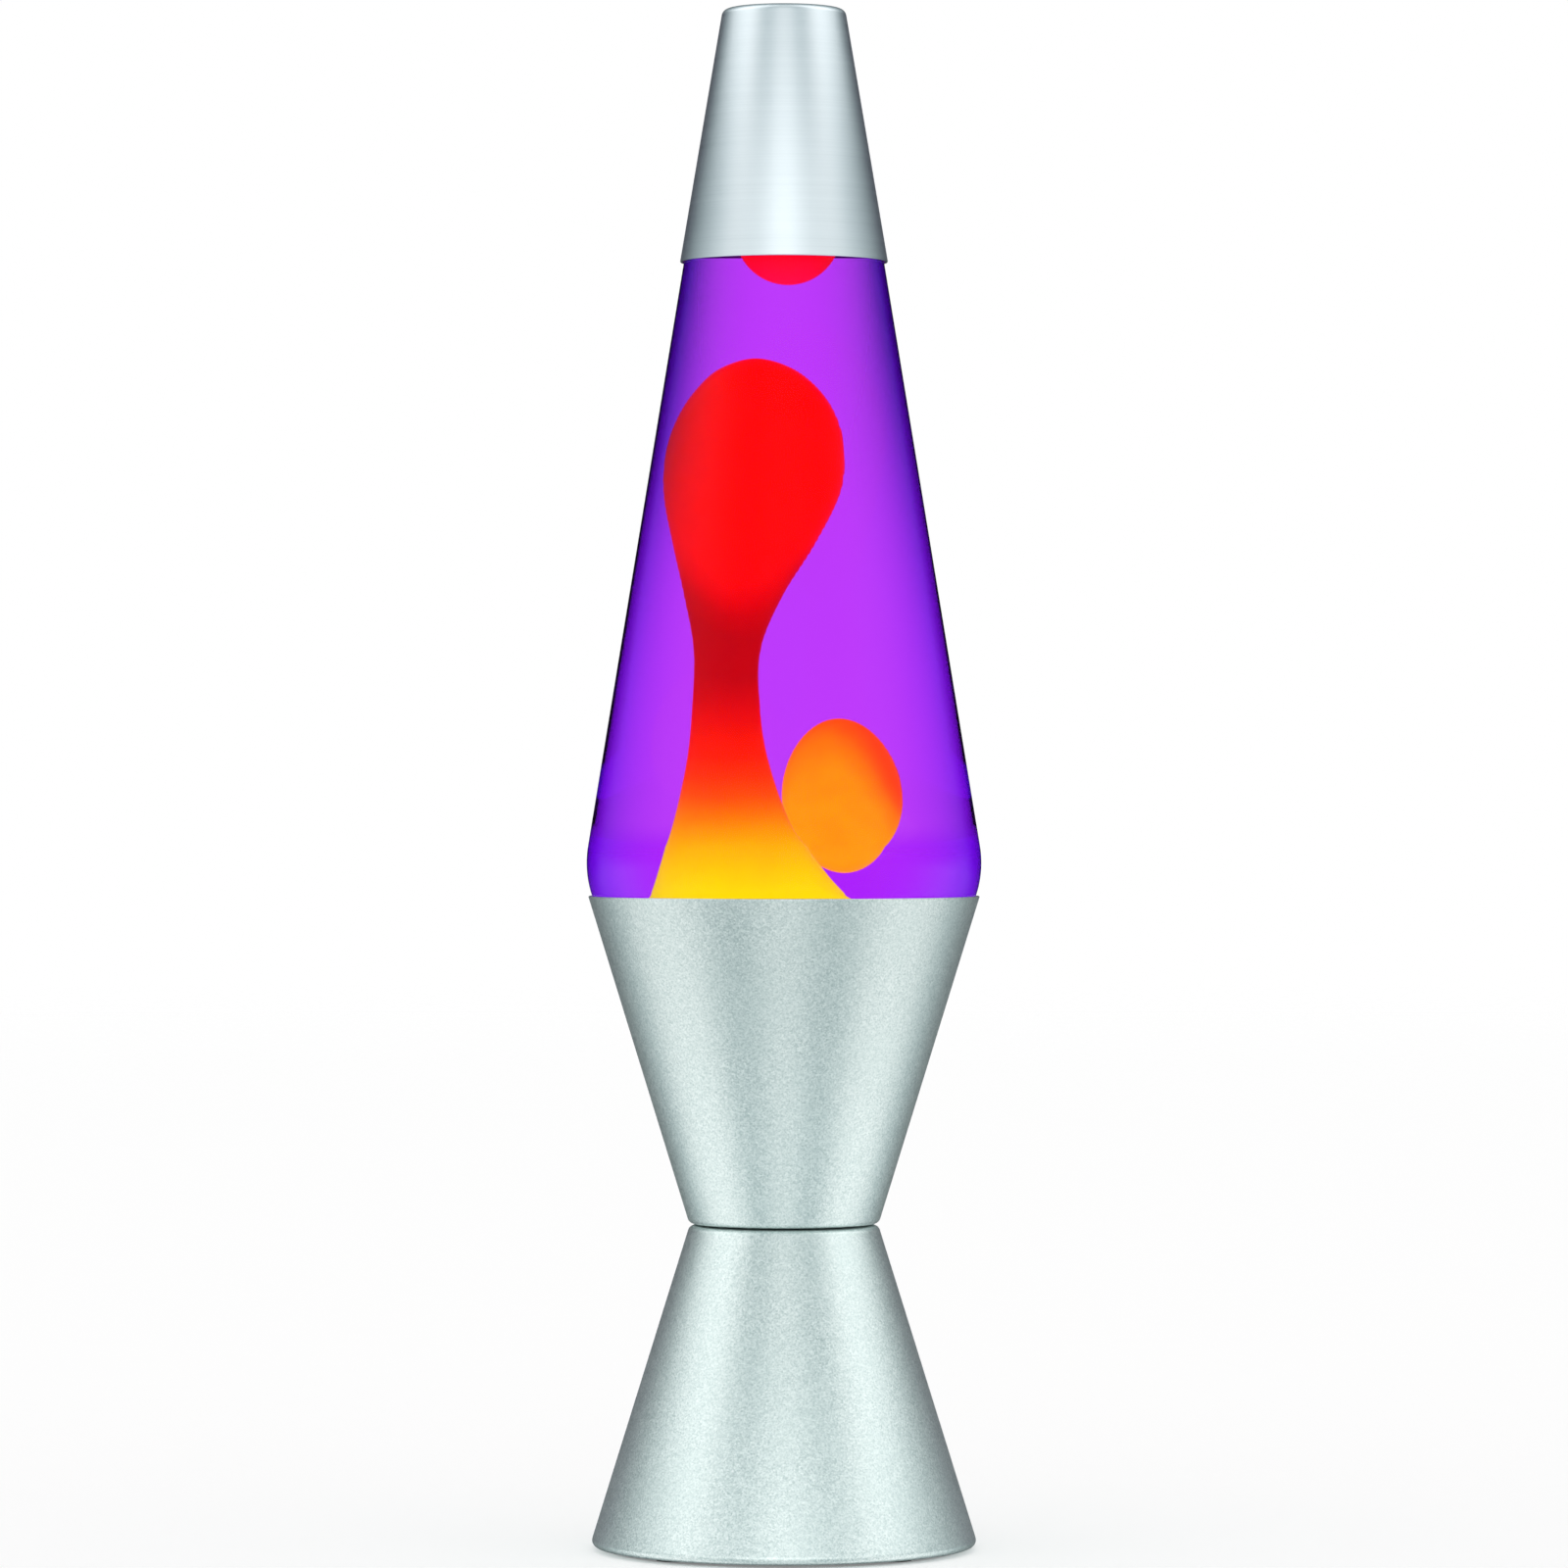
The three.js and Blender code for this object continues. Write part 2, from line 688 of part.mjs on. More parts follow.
const coilRadius = 24;
const coilThickness = 2.4;
const coilSides = 24;
const coilHeight = globeFloor + glassFloor + gap + coilThickness;
const coilGroove = ring([
  [coilRadius - coilThickness - gap, poolFloor - 2],
  [coilRadius + coilThickness + gap, poolFloor - 2],
  [coilRadius + coilThickness + gap, coilHeight + coilThickness + gap],
  [coilRadius - coilThickness - gap, coilHeight + coilThickness + gap],
], coilSides);
add('wax_column', cut(waxColumn(0), coilGroove), 'redWax');
add('heating_coil', new THREE.TorusGeometry(coilRadius, coilThickness, 6, coilSides).translate(
  0, 0, coilHeight), 'steel');

// A stretched ball of wax.
function drop({ width, height, at }, grow = 0) {
  const ball = new THREE.SphereGeometry(1, 18, 11).rotateX(Math.PI / 2);
  return ball.scale(width + grow, width + grow, height + grow).translate(...at);
}
add('wax_drop', drop(risingDrop), 'orangeWax');
add('wax_top', drop(topDrop), 'redWax');

// Liquid round the wax. A fine passage joins the drop's space to the column's.
function liquid() {
  const [, bulge, shoulder] = insideCorners(flowGap);
  const foot = poolRim + 0.8;
  const body = turned(outline([
    [0, foot],
    [bulge[0] - (bulge[1] - foot) * cupSlope, foot],
    bulge,
    [shoulder[0] + (shoulder[1] - liquidTop) * glassSlope, liquidTop],
    [0, liquidTop],
  ]));
  const [dropX, dropY, dropZ] = risingDrop.at;
  const reach = Math.hypot(dropX, dropY);
  const passage = rod(0.6, reach, 8).rotateY(Math.PI / 2).translate(reach / 2, 0, dropZ);
  passage.rotateZ(Math.atan2(dropY, dropX));
  return cut(body, waxColumn(flowGap), drop(risingDrop, flowGap), drop(topDrop, flowGap),
    passage.translate(-dropX, 0, 0));
}
add('liquid', liquid(), 'liquid');

export default lamp;
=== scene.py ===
import bisect
import math

import bmesh
import bpy
from mathutils import Matrix, Vector


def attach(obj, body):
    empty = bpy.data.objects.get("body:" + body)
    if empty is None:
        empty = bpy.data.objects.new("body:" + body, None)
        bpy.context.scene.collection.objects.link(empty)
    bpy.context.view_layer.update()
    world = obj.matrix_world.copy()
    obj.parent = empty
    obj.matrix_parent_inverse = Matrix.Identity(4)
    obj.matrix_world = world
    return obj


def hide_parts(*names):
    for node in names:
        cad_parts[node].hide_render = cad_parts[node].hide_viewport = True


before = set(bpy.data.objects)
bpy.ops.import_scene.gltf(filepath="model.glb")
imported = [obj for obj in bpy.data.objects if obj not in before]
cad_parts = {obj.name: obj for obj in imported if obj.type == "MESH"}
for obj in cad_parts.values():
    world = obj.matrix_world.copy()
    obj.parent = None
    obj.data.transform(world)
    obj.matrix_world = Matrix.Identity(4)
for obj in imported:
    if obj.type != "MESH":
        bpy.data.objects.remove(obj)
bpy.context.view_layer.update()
print("frame loaded,", len(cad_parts), "CAD nodes")

mm = 0.001
fullTurn = 2 * math.pi
aroundZ = {"cent": (0, 0, 0), "axis": (0, 0, 1)}


# shader graph

class Wire:  # a socket that takes part in plain arithmetic
    def __init__(self, graph, socket, node):
        self.graph, self.socket, self.owner = graph, socket, node

    def pick(self, name):  # another output of the same node
        return Wire(self.graph, self.owner.outputs[name], self.owner)

    def maths(self, operation, *values):
        return self.graph.node("Math", {"operation": operation}, dict(enumerate(values)))

    def __add__(self, other):
        return self.maths("ADD", self, other)

    __radd__ = __add__

    def __sub__(self, other):
        return self.maths("SUBTRACT", self, other)

    def __rsub__(self, other):
        return self.maths("SUBTRACT", other, self)

    def __mul__(self, other):
        return self.maths("MULTIPLY", self, other)

    __rmul__ = __mul__

    def __truediv__(self, other):
        return self.maths("DIVIDE", self, other)

    def __rtruediv__(self, other):
        return self.maths("DIVIDE", other, self)

    def __pow__(self, other):
        return self.maths("POWER", self, other)

    def __abs__(self):
        return self.maths("ABSOLUTE", self)

    def step(self, low, high, start=0, end=1):  # a soft step from start at low to end at high
        return self.graph.node("MapRange", {"interpolation_type": "SMOOTHSTEP"}, {
            "Value": self, "From Min": low, "From Max": high, "To Min": start, "To Max": end})


class Graph:
    def __init__(self, tree):
        self.tree = tree
        tree.nodes.clear()

    def feed(self, socket, value):  # links a socket, or sets it to a number or a colour
        if isinstance(value, Wire):
            self.tree.links.new(value.socket, socket)
        elif socket.type == "RGBA" and len(value) == 3:
            socket.default_value = (*value, 1)
        else:
            socket.default_value = value

    def node(self, kind, settings=None, sockets=None, out=0):
        made = self.tree.nodes.new("ShaderNode" + kind)
        for key, value in (settings or {}).items():
            if key == "stops":
                self.fillRamp(made.color_ramp, value)
            else:
                setattr(made, key, value)
        for key, value in (sockets or {}).items():
            self.feed(made.inputs[key], value)
        return Wire(self, made.outputs[out], made) if len(made.outputs) else made

    def fillRamp(self, ramp, stops):
        while len(ramp.elements) < len(stops):
            ramp.elements.new(1)
        for element, (place, colour) in zip(ramp.elements, stops):
            element.position = place
            element.color = (*colour, 1)

    def spread(self, colourA, colourB, share, blend="MIX"):  # colours mixed by a share
        return self.node("Mix", {"data_type": "RGBA", "blend_type": blend},
                         {0: share, 6: colourA, 7: colourB}, out=2)


class Finish(Graph):
    def __init__(self, name):
        self.material = bpy.data.materials.new(name)
        self.material.use_nodes = True
        super().__init__(self.material.node_tree)
        self.place = self.node("TexCoord", out="Object")

    def grain(self, scale, detail=2.0, roughness=0.5, stretch=None):
        place = self.place
        if stretch:
            place = self.node("Mapping", None, {"Vector": place, "Scale": stretch})
        return self.node("TexNoise", None, {
            "Vector": place, "Scale": scale, "Detail": detail, "Roughness": roughness}, out="Fac")

    def cells(self, scale):  # small cells, each of a colour of its own
        return self.node("TexVoronoi", None, {"Vector": self.place, "Scale": scale}, out="Color")

    def ramp(self, value, stops):
        return self.node("ValToRGB", {"stops": stops}, {"Fac": value})

    def along(self, axis):  # metres along X, Y or Z
        return self.node("SeparateXYZ", None, {"Vector": self.place}, out=axis)

    def height(self):  # mm above the floor
        return self.along("Z") / mm

    def radius(self):  # metres from the lamp's axis
        across = self.along("X")
        return (across ** 2 + across.pick("Y") ** 2) ** 0.5

    def bump(self, height, strength, depth):
        return self.node("Bump", None, {"Height": height, "Strength": strength, "Distance": depth})

    def surface(self, sockets):
        return self.show(self.node("BsdfPrincipled", None, sockets))

    def plain(self, tone, grain, rough, spread, bump, metallic=0.0):  # gloss and bump follow one grain
        return self.surface({"Base Color": tone, "Metallic": metallic, "Roughness": rough + grain * spread,
                             "Normal": self.bump(grain, *bump)})

    def show(self, shader):
        self.node("OutputMaterial", None, {"Surface": shader})
        return self.material


def linear(red, green, blue):  # a display colour, 0 to 255, as scene light
    def one(value):
        share = value / 255
        return share / 12.92 if share <= 0.04045 else ((share + 0.055) / 1.055) ** 2.4
    return (one(red), one(green), one(blue))


# mesh making

def meshOf(name, bm):  # a mesh made of a bmesh, which is let go
    mesh = bpy.data.meshes.new(name)
    bm.to_mesh(mesh)
    bm.free()
    return mesh


def placed(name, data):  # an object in the scene
    thing = bpy.data.objects.new(name, data)
    bpy.context.scene.collection.objects.link(thing)
    return thing


def outwards(bm):
    bmesh.ops.recalc_face_normals(bm, faces=bm.faces[:])
    return bm


def cornerReach(before, corner, after, radius):  # how far a round runs along each side of its corner
    return radius / math.tan((before - corner).angle(after - corner) / 2)


def arcRun(before, corner, after):  # an even arc round an obtuse corner, as more corners
    radius, count, here = corner[2], corner[3], Vector(corner[:2])
    back, ahead = (Vector(before[:2]) - here).normalized(), (Vector(after[:2]) - here).normalized()
    half = back.angle(ahead) / 2
    centre = here + (back + ahead).normalized() * radius / math.sin(half)
    first, last = (here + way * radius / math.tan(half) - centre for way in (back, ahead))
    return [tuple(centre + first.lerp(last, k / count).normalized() * radius) for k in range(count + 1)]


def drawOutline(bm, corners, closed=False):  # corners are (radius, height, round, segments), mm
    points = [Vector((c[0], 0, c[1])) for c in corners]
    verts = [bm.verts.new(p * mm) for p in points]
    count = len(verts)
    for i in range(count if closed else count - 1):
        bm.edges.new((verts[i], verts[(i + 1) % count]))
    for i, corner in enumerate(corners):
        if len(corner) > 2:
            reach = cornerReach(points[i - 1], points[i], points[(i + 1) % count], corner[2])
            bmesh.ops.bevel(bm, geom=[verts[i]], offset=reach * mm, offset_type="ABSOLUTE", affect="VERTICES",
                            segments=corner[3], profile=0.5, material=-1, clamp_overlap=False)
    return bm


def turnRound(bm, steps, rise=0):
    bmesh.ops.spin(bm, geom=bm.verts[:] + bm.edges[:], dvec=(0, 0, rise * mm / steps), angle=fullTurn,
                   steps=steps, use_merge=rise == 0, use_duplicate=False, **aroundZ)
    bmesh.ops.remove_doubles(bm, verts=bm.verts[:], dist=1e-6)
    return outwards(bm)


def lathe(corners, steps=144, closed=False):
    return turnRound(drawOutline(bmesh.new(), corners, closed), steps)


def rotated(bm, angle, axis, verts=None):  # turned about an axis through the origin
    bmesh.ops.rotate(bm, verts=verts or bm.verts[:], cent=(0, 0, 0), matrix=Matrix.Rotation(angle, 3, axis))
    return bm


def moved(bm, way, verts=None):  # moved by so many mm
    bmesh.ops.translate(bm, verts=verts or bm.verts[:], vec=[part * mm for part in way])
    return bm


def plug(radius, low, high, segments=32):  # a plain cutter on the Z axis
    bm = bmesh.new()
    bmesh.ops.create_cone(bm, cap_ends=True, segments=segments, radius1=radius * mm, radius2=radius * mm,
                          depth=(high - low) * mm, matrix=Matrix.Translation((0, 0, (low + high) / 2 * mm)))
    return bm


def softEdges(bm, sharpFrom):
    for face in bm.faces:
        face.smooth = True
    for edge in bm.edges:
        edge.smooth = not (edge.is_manifold and edge.calc_face_angle(0) > math.radians(sharpFrom))


def asPiece(name, bm, finish, body, replaces=(), sharpFrom=32):
    softEdges(bm, sharpFrom)
    piece = placed(name, meshOf(name, bm))
    piece.data.materials.append(finish)
    if replaces:
        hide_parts(*replaces)
    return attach(piece, body)


def carve(bm, tools):  # cuts the tools out of a mesh
    blank = placed("blank", meshOf("blank", bm))
    cutters = [placed("cutter", meshOf("cutter", tool)) for tool in tools]
    for cutter in cutters:
        cutting = blank.modifiers.new("cut", "BOOLEAN")
        cutting.operation, cutting.object, cutting.solver = "DIFFERENCE", cutter, "EXACT"
    bpy.context.view_layer.update()
    result = bmesh.new()
    result.from_object(blank, bpy.context.evaluated_depsgraph_get())
    for thing in [blank, *cutters]:
        bpy.data.objects.remove(thing)
    return result


def smoothRun(points, perSpan):  # a smooth line through points, as a list of vectors
    ends = [2 * points[0] - points[1], *points, 2 * points[-1] - points[-2]]
    run = []
    for a, b, c, d in zip(ends, ends[1:], ends[2:], ends[3:]):
        for k in range(perSpan):
            t = k / perSpan
            run.append(0.5 * (2 * b + (c - a) * t + (2 * a - 5 * b + 4 * c - d) * t ** 2
                              + (3 * b - a - 3 * c + d) * t ** 3))
    return [*run, points[-1].copy()]


def wireOf(points, radius, sides=2, closed=False):  # a round wire along points, mm
    line = bpy.data.curves.new("wire", "CURVE")
    line.dimensions, line.bevel_depth, line.bevel_resolution = "3D", radius * mm, sides
    line.use_fill_caps = not closed
    run = line.splines.new("POLY")
    run.points.add(len(points) - 1)
    for knot, point in zip(run.points, points):
        knot.co = (*(point * mm), 1)
    run.use_cyclic_u = closed
    holder = placed("wire", line)
    bpy.context.view_layer.update()
    bm = bmesh.new()
    bm.from_mesh(holder.to_mesh())
    holder.to_mesh_clear()
    bpy.data.objects.remove(holder)
    bmesh.ops.remove_doubles(bm, verts=bm.verts[:], dist=1e-7)
    return outwards(bm)


def wave(bm, depth, count, low, high, beyond):  # flutes outside beyond, which fade towards high
    for v in bm.verts:
        across = Vector((v.co.x, v.co.y))
        if across.length > beyond * mm and low * mm <= v.co.z <= high * mm:
            share = min(1, (high - v.co.z / mm) / (high - low) * 2.5)  # full over the lower three fifths
            ripple = depth * share * math.cos(count * math.atan2(across.y, across.x)) * mm
            v.co.xy = across * (1 + ripple / across.length)
    return bm


def threaded(facts):  # a rolled sheet sleeve with a right-hand screw thread
    bm = bmesh.new()
    pitch, perTurn = facts["pitch"], 12
    turns = math.ceil((facts["threadHigh"] - facts["threadLow"]) / pitch) + 3
    start = facts["threadLow"] - 1.5 * pitch
    knots = []
    for i in range(turns * perTurn + 1):
        ripple = facts["depth"] / 2 * math.cos(fullTurn * i / perTurn)
        knots.append(bm.verts.new(Vector((facts["middle"] + ripple, 0, start + pitch * i / perTurn)) * mm))
    for first, second in zip(knots, knots[1:]):
        bm.edges.new((first, second))
    turnRound(bm, 72, rise=pitch)
    for height, way in ((facts["threadLow"], -1), (facts["threadHigh"], 1)):
        bmesh.ops.bisect_plane(bm, geom=bm.verts[:] + bm.edges[:] + bm.faces[:], dist=1e-7,
                               plane_co=(0, 0, height * mm), plane_no=(0, 0, way), clear_outer=True)
    for height, plain in ((facts["low"], facts["plainLow"]), (facts["high"], facts["plainHigh"])):
        rim = [e for e in bm.edges if e.is_boundary
               and (e.verts[0].co.z < (facts["low"] + facts["high"]) / 2 * mm) == (height == facts["low"])]
        rims = bmesh.ops.extrude_edge_only(bm, edges=rim)["geom"]
        for v in (v for v in rims if isinstance(v, bmesh.types.BMVert)):
            v.co.xy = v.co.xy.normalized() * plain * mm
            v.co.z = height * mm
    bmesh.ops.solidify(outwards(bm), geom=bm.faces[:], thickness=facts["sheet"] * mm)
    return outwards(bm)


# camera

camera = {"distance": 1.737, "height": 0.1832, "lens": 166.5, "sensor": 36, "clip": (0.05, 50)}


def setCamera():
    made = bpy.data.cameras.new("studioCamera")
    made.lens, made.sensor_width = camera["lens"], camera["sensor"]
    made.clip_start, made.clip_end = camera["clip"]
    holder = placed("studioCamera", made)
    holder.location = (0, -camera["distance"], camera["height"])
    holder.rotation_euler = (math.pi / 2, 0, 0)
    bpy.context.scene.camera = holder
    bpy.context.scene.view_settings.view_transform = "Standard"


# studio

studio = {
    "backdrop": 1.0,  # what the camera sees round the object
    "behindGlass": 1.0,  # what glass lets through
    "softFill": 0.85,  # light on plain surfaces
    "metalBase": 0.5,  # mirrored from between the softboxes
    "sideBoxes": 0.72,
    "highBoxes": 0.45,  # added to the side boxes above head height
    "boxGap": 0.9,  # share of the side boxes missing in the belt
    "keyBox": 0.97,  # a broad box in front, in the belt only
    "frontStrip": 0.5,
    "backShade": 0.35,  # light left behind the object, low down
    "highShade": 0.35,  # and added to it above head height
    "beltShade": 0.42,
    "darkSpot": 0.8,  # the dark doorway straight behind the object
    "doorway": (0.5, 0.25, 1.0),
    "shadeTint": (0.78, 0.99, 1.03),  # colour of the dim parts of the room
    "dim": (0.3, 1.15),  # strengths between which that colour goes over to white
    # the soft edges, each from none to full, in parts of a direction
    "beltFoot": (-0.1, 0.1), "beltTop": (0.4, 0.22),  # the belt is the height that the cap mirrors
    "highFrom": (0.2, 0.42), "sideFrom": (0.62, 0.97), "stripFrom": (0.9, 1.0), "keyFrom": (-0.1, 1.0),
    "boxBack": (-0.7, -0.05), "highBack": (0.25, 0.3),  # the side boxes' back edge, further round when high
    "shadeFrom": (-0.35, -0.9), "beltShadeFrom": (0.8, -0.6), "spotFrom": (0.65, 0.9),
    "doorSides": (0.6, 0.88), "doorFoot": (-0.15, 0.0), "doorTop": (0.35, 0.2),
}


def lightStudio():
    world = bpy.data.worlds.new("studio")
    bpy.context.scene.world = world
    world.use_nodes = True
    sky = Graph(world.node_tree)
    way = sky.node("TexCoord", out="Generated")
    across = sky.node("SeparateXYZ", None, {"Vector": way}, out="X")
    along, up = across.pick("Y"), across.pick("Z")
    level = (across ** 2 + along ** 2) ** 0.5
    side, front = abs(across) / level, (0 - along) / level
    belt = up.step(*studio["beltFoot"]) * up.step(*studio["beltTop"])
    above = up.step(*studio["highFrom"])
    reach = front.step(*(low - above * more for low, more in zip(studio["boxBack"], studio["highBack"])))
    boxes = side.step(*studio["sideFrom"]) * reach * (above * studio["highBoxes"] + studio["sideBoxes"]) * (
        1 - belt * studio["boxGap"])
    strip = front.step(*studio["stripFrom"]) * studio["frontStrip"]
    key = front.step(*studio["keyFrom"]) * belt * studio["keyBox"]
    shade = front.step(*studio["shadeFrom"], 1, above * studio["highShade"] + studio["backShade"]) * (
        1 - belt * front.step(*studio["beltShadeFrom"], 0, 1 - studio["beltShade"])) * (
        1 - along.step(*studio["spotFrom"]) * studio["darkSpot"])
    mirrored = (boxes + strip + key + studio["metalBase"]) * shade
    tint = sky.spread(studio["shadeTint"], (1, 1, 1), mirrored.step(*studio["dim"]))
    door = along.step(*studio["doorSides"]) * up.step(*studio["doorFoot"]) * up.step(*studio["doorTop"])
    tint = sky.spread(tint, studio["doorway"], door)
    seen = sky.node("LightPath", out="Is Camera Ray")
    through = seen.pick("Is Transmission Ray")
    glossy = seen.pick("Is Glossy Ray") * (1 - through)  # a refracted ray counts as glossy too
    rest = 1 - seen - glossy - through
    amount = (seen * studio["backdrop"] + glossy * mirrored + through * studio["behindGlass"]
              + rest * studio["softFill"])
    sky.node("OutputWorld", None, {"Surface": sky.node("Background", None, {
        "Color": sky.spread((1, 1, 1), tint, glossy), "Strength": amount})})


floorSheet = {"radius": 6.0, "fadeFrom": 2.2, "fadeTo": 5.0, "tone": 0.93, "glow": 0.2}


def layFloor():
    finish = Finish("paleFloor")
    speckle = finish.grain(60, 3)
    tone = finish.spread((floorSheet["tone"],) * 3, (floorSheet["tone"] * 0.99,) * 3, speckle)
    sheet = finish.node("BsdfPrincipled", None, {
        "Base Color": tone, "Roughness": 0.8, "Specular IOR Level": 0.0,
        "Emission Color": (1, 1, 1), "Emission Strength": floorSheet["glow"]})
    clear = finish.node("BsdfTransparent")
    fade = finish.radius().step(floorSheet["fadeFrom"], floorSheet["fadeTo"])
    finish.show(finish.node("MixShader", None, {0: fade, 1: sheet, 2: clear}))
    bm = bmesh.new()
    bmesh.ops.create_circle(bm, cap_ends=True, segments=96, radius=floorSheet["radius"])
    floor = placed("floor", meshOf("floor", bm))
    floor.data.materials.append(finish.material)
    floor.visible_glossy = False


setCamera()
lightStudio()
layFloor()
print("camera, light and floor set")


# base: skirt and cup

sheetMetal = {"sheet": 0.6, "steps": 192, "holeRadius": 12.55}
skirt = {
    "rimRadius": 46.5, "rimHeight": 0.8, "rimRound": 1.6, "lipInside": 42.0,
    "waistRadius": 22.6, "top": 77.6, "waistRound": 1.6,
}
cup = {
    "floorRadius": 22.7, "floor": 78.0, "floorRound": 1.6,
    "rimRadius": 46.9, "rim": 156.4, "edgeRound": 0.22,
}
inlet = {"height": 15.0, "bore": 4.0, "sleeve": 5.2, "hole": 5.5, "outerFlange": 7.2, "innerFlange": 6.2,
         "drill": 12, "flange": 1.2, "outerThickness": 1.6, "gap": 0.3}
paint = {  # tones of the coat, and the painted shade: how bright it is painted up each cone
    "dark": (0.45, 0.56, 0.55), "light": (0.89, 0.97, 0.95), "cloud": (0.66, 0.77, 0.75),
    "foot": 1.1, "waist": 0.99, "cupFloor": 1.1, "cupRim": 0.86,
    "skirtSpan": (0, 78), "waistStep": (77.7, 78.1), "cupSpan": (78, 156),
}


def spreadOf(thickness, slope):  # a wall's width along the radius of a cone
    return thickness * math.hypot(1, slope)


skirtSlope = (skirt["rimRadius"] - skirt["waistRadius"]) / (skirt["top"] - skirt["rimHeight"])
cupSlope = (cup["rimRadius"] - cup["floorRadius"]) / (cup["rim"] - cup["floor"])


def skirtOutside(z):
    return skirt["rimRadius"] - (z - skirt["rimHeight"]) * skirtSlope


def skirtInside(z):
    return skirtOutside(z) - spreadOf(sheetMetal["sheet"], skirtSlope)


def cupOutside(z):
    return cup["rimRadius"] - (cup["rim"] - z) * cupSlope


def cupInside(z):
    return cupOutside(z) - spreadOf(sheetMetal["sheet"], cupSlope)


def atInlet(bm):  # stands a shape made on the Z axis square to the wall at the cord inlet
    rotated(bm, -math.pi / 2 + math.atan(skirtSlope), "X")
    return moved(bm, (0, skirtOutside(inlet["height"]), inlet["height"]))


def silverPaint():
    f = Finish("silverPaint")
    sparkle = f.node("SeparateColor", None, {"Color": f.cells(2500)}, out="Red")
    fine = f.grain(2100, 3, 0.75)
    cloud = f.grain(45, 3)
    wear = f.grain(600, 4, 0.6)
    tone = f.spread(paint["dark"], paint["light"], sparkle * 0.45 + fine.step(0.3, 0.7) * 0.55)
    tone = f.spread(tone, paint["cloud"], cloud.step(0.4, 0.7, 0, 0.25))
    level = f.height()
    # painted shade: lighter at the skirt's foot and the cup's floor, darker towards the waist and the cup's
    # rim
    paintedShadeLevel = level.step(*paint["skirtSpan"], paint["foot"], paint["waist"]) * level.step(
        *paint["waistStep"], 1, paint["cupFloor"]) * level.step(*paint["cupSpan"], 1, paint["cupRim"])
    paintedShadeColour = f.node("CombineColor", None, {0: paintedShadeLevel, 1: paintedShadeLevel, 2: paintedShadeLevel})
    return f.surface({
        "Base Color": f.spread(tone, paintedShadeColour, 1.0, "MULTIPLY"), "Metallic": 0.8, "Specular IOR Level": 0.3,
        "Roughness": 0.30 + sparkle * 0.10 + (wear - 0.5) * 0.06,
        "Normal": f.bump(sparkle * 0.6 + fine * 0.4, 0.45, 0.00008)})


silver = silverPaint()


def makeSkirt():
    sheet = sheetMetal["sheet"]
    lipTop = skirt["rimHeight"] + sheet
    flange = skirt["top"] - sheet
    shell = lathe([
        (skirt["lipInside"], skirt["rimHeight"], 0.2, 2),
        (skirt["rimRadius"], skirt["rimHeight"], skirt["rimRound"], 10),
        (skirt["waistRadius"], skirt["top"], skirt["waistRound"], 8),
        (sheetMetal["holeRadius"], skirt["top"]),
        (sheetMetal["holeRadius"], flange),
        (skirtInside(flange), flange, skirt["waistRound"] - sheet, 6),
        (skirtInside(lipTop), lipTop, skirt["rimRound"] - sheet, 6),
        (skirt["lipInside"], lipTop, 0.2, 2),
    ], sheetMetal["steps"], closed=True)
    hole = plug(inlet["hole"], -inlet["drill"] / 2, inlet["drill"] / 2, 48)
    asPiece("skirt_spun", carve(shell, [atInlet(hole)]), silver, "base", ["base_skirt"])


def makeCup():
    sheet = sheetMetal["sheet"]
    floorTop = cup["floor"] + sheet
    asPiece("cup_spun", lathe([
        (sheetMetal["holeRadius"], cup["floor"]),
        (cup["floorRadius"], cup["floor"], cup["floorRound"], 8),
        (cup["rimRadius"], cup["rim"], cup["edgeRound"], 4),
        (cupInside(cup["rim"]), cup["rim"], cup["edgeRound"], 4),
        (cupInside(floorTop), floorTop, cup["floorRound"] - sheet, 6),
        (sheetMetal["holeRadius"], floorTop),
    ], sheetMetal["steps"], closed=True), silver, "base", ["base_cup"])


makeSkirt()
makeCup()
print("skirt and cup spun")


# glass bottle and liquid

bottle = {
    "wall": 3.2, "seatGap": 0.3, "floor": 125.3, "floorThickness": 4.5, "floorRound": 6,
    "bulge": 162.6, "bulgeRound": 25, "shoulder": 336.0, "shoulderRadius": 19.4, "shoulderRound": 10,
    "neckRadius": 11.8, "neckFoot": 344.5, "lipFoot": 347.0, "lipRadius": 13.2, "mouthTop": 352.8,
    "mouthRadius": 9.2, "innerDrop": 1.5, "steps": 224,
    "tint": (0.77, 0.285, 1.0),  # what one wall lets through
    "paintedEdgeShadeLow": (0.26, 0.01, 0.93), "paintedEdgeShadeHigh": (0.055, 0.001, 0.36),  # painted edge shade at its sides, low down and high up
    "paintedEdgeShadeHeights": (190, 300), "paintedEdgeShadeFrom": (0.09, 0.76),
    "paintedBackWallShadeTint": (0.8, 0.33, 1.0),  # painted shade low on the back wall, a deeper violet standing in for the cup's colour showing through
    "paintedBackWallShadeHeights": (170.5, 162.5), "paintedBackWallShadeY": (-0.004, 0.012),
}
liquid = {
    "overlap": 0.1, "surface": 329.0, "meniscus": 0.8, "meniscusWidth": 1.6,
    "tint": (0.88, 0.52, 1.0),  # what the liquid lets through from side to side
}


def seatOutside(z):
    return cupInside(z) - spreadOf(bottle["seatGap"], cupSlope)


bulgeRadius = seatOutside(bottle["bulge"])
glassSlope = (bulgeRadius - bottle["shoulderRadius"]) / (bottle["shoulder"] - bottle["bulge"])


def glassOutside(z):
    return bottle["shoulderRadius"] + (bottle["shoulder"] - z) * glassSlope


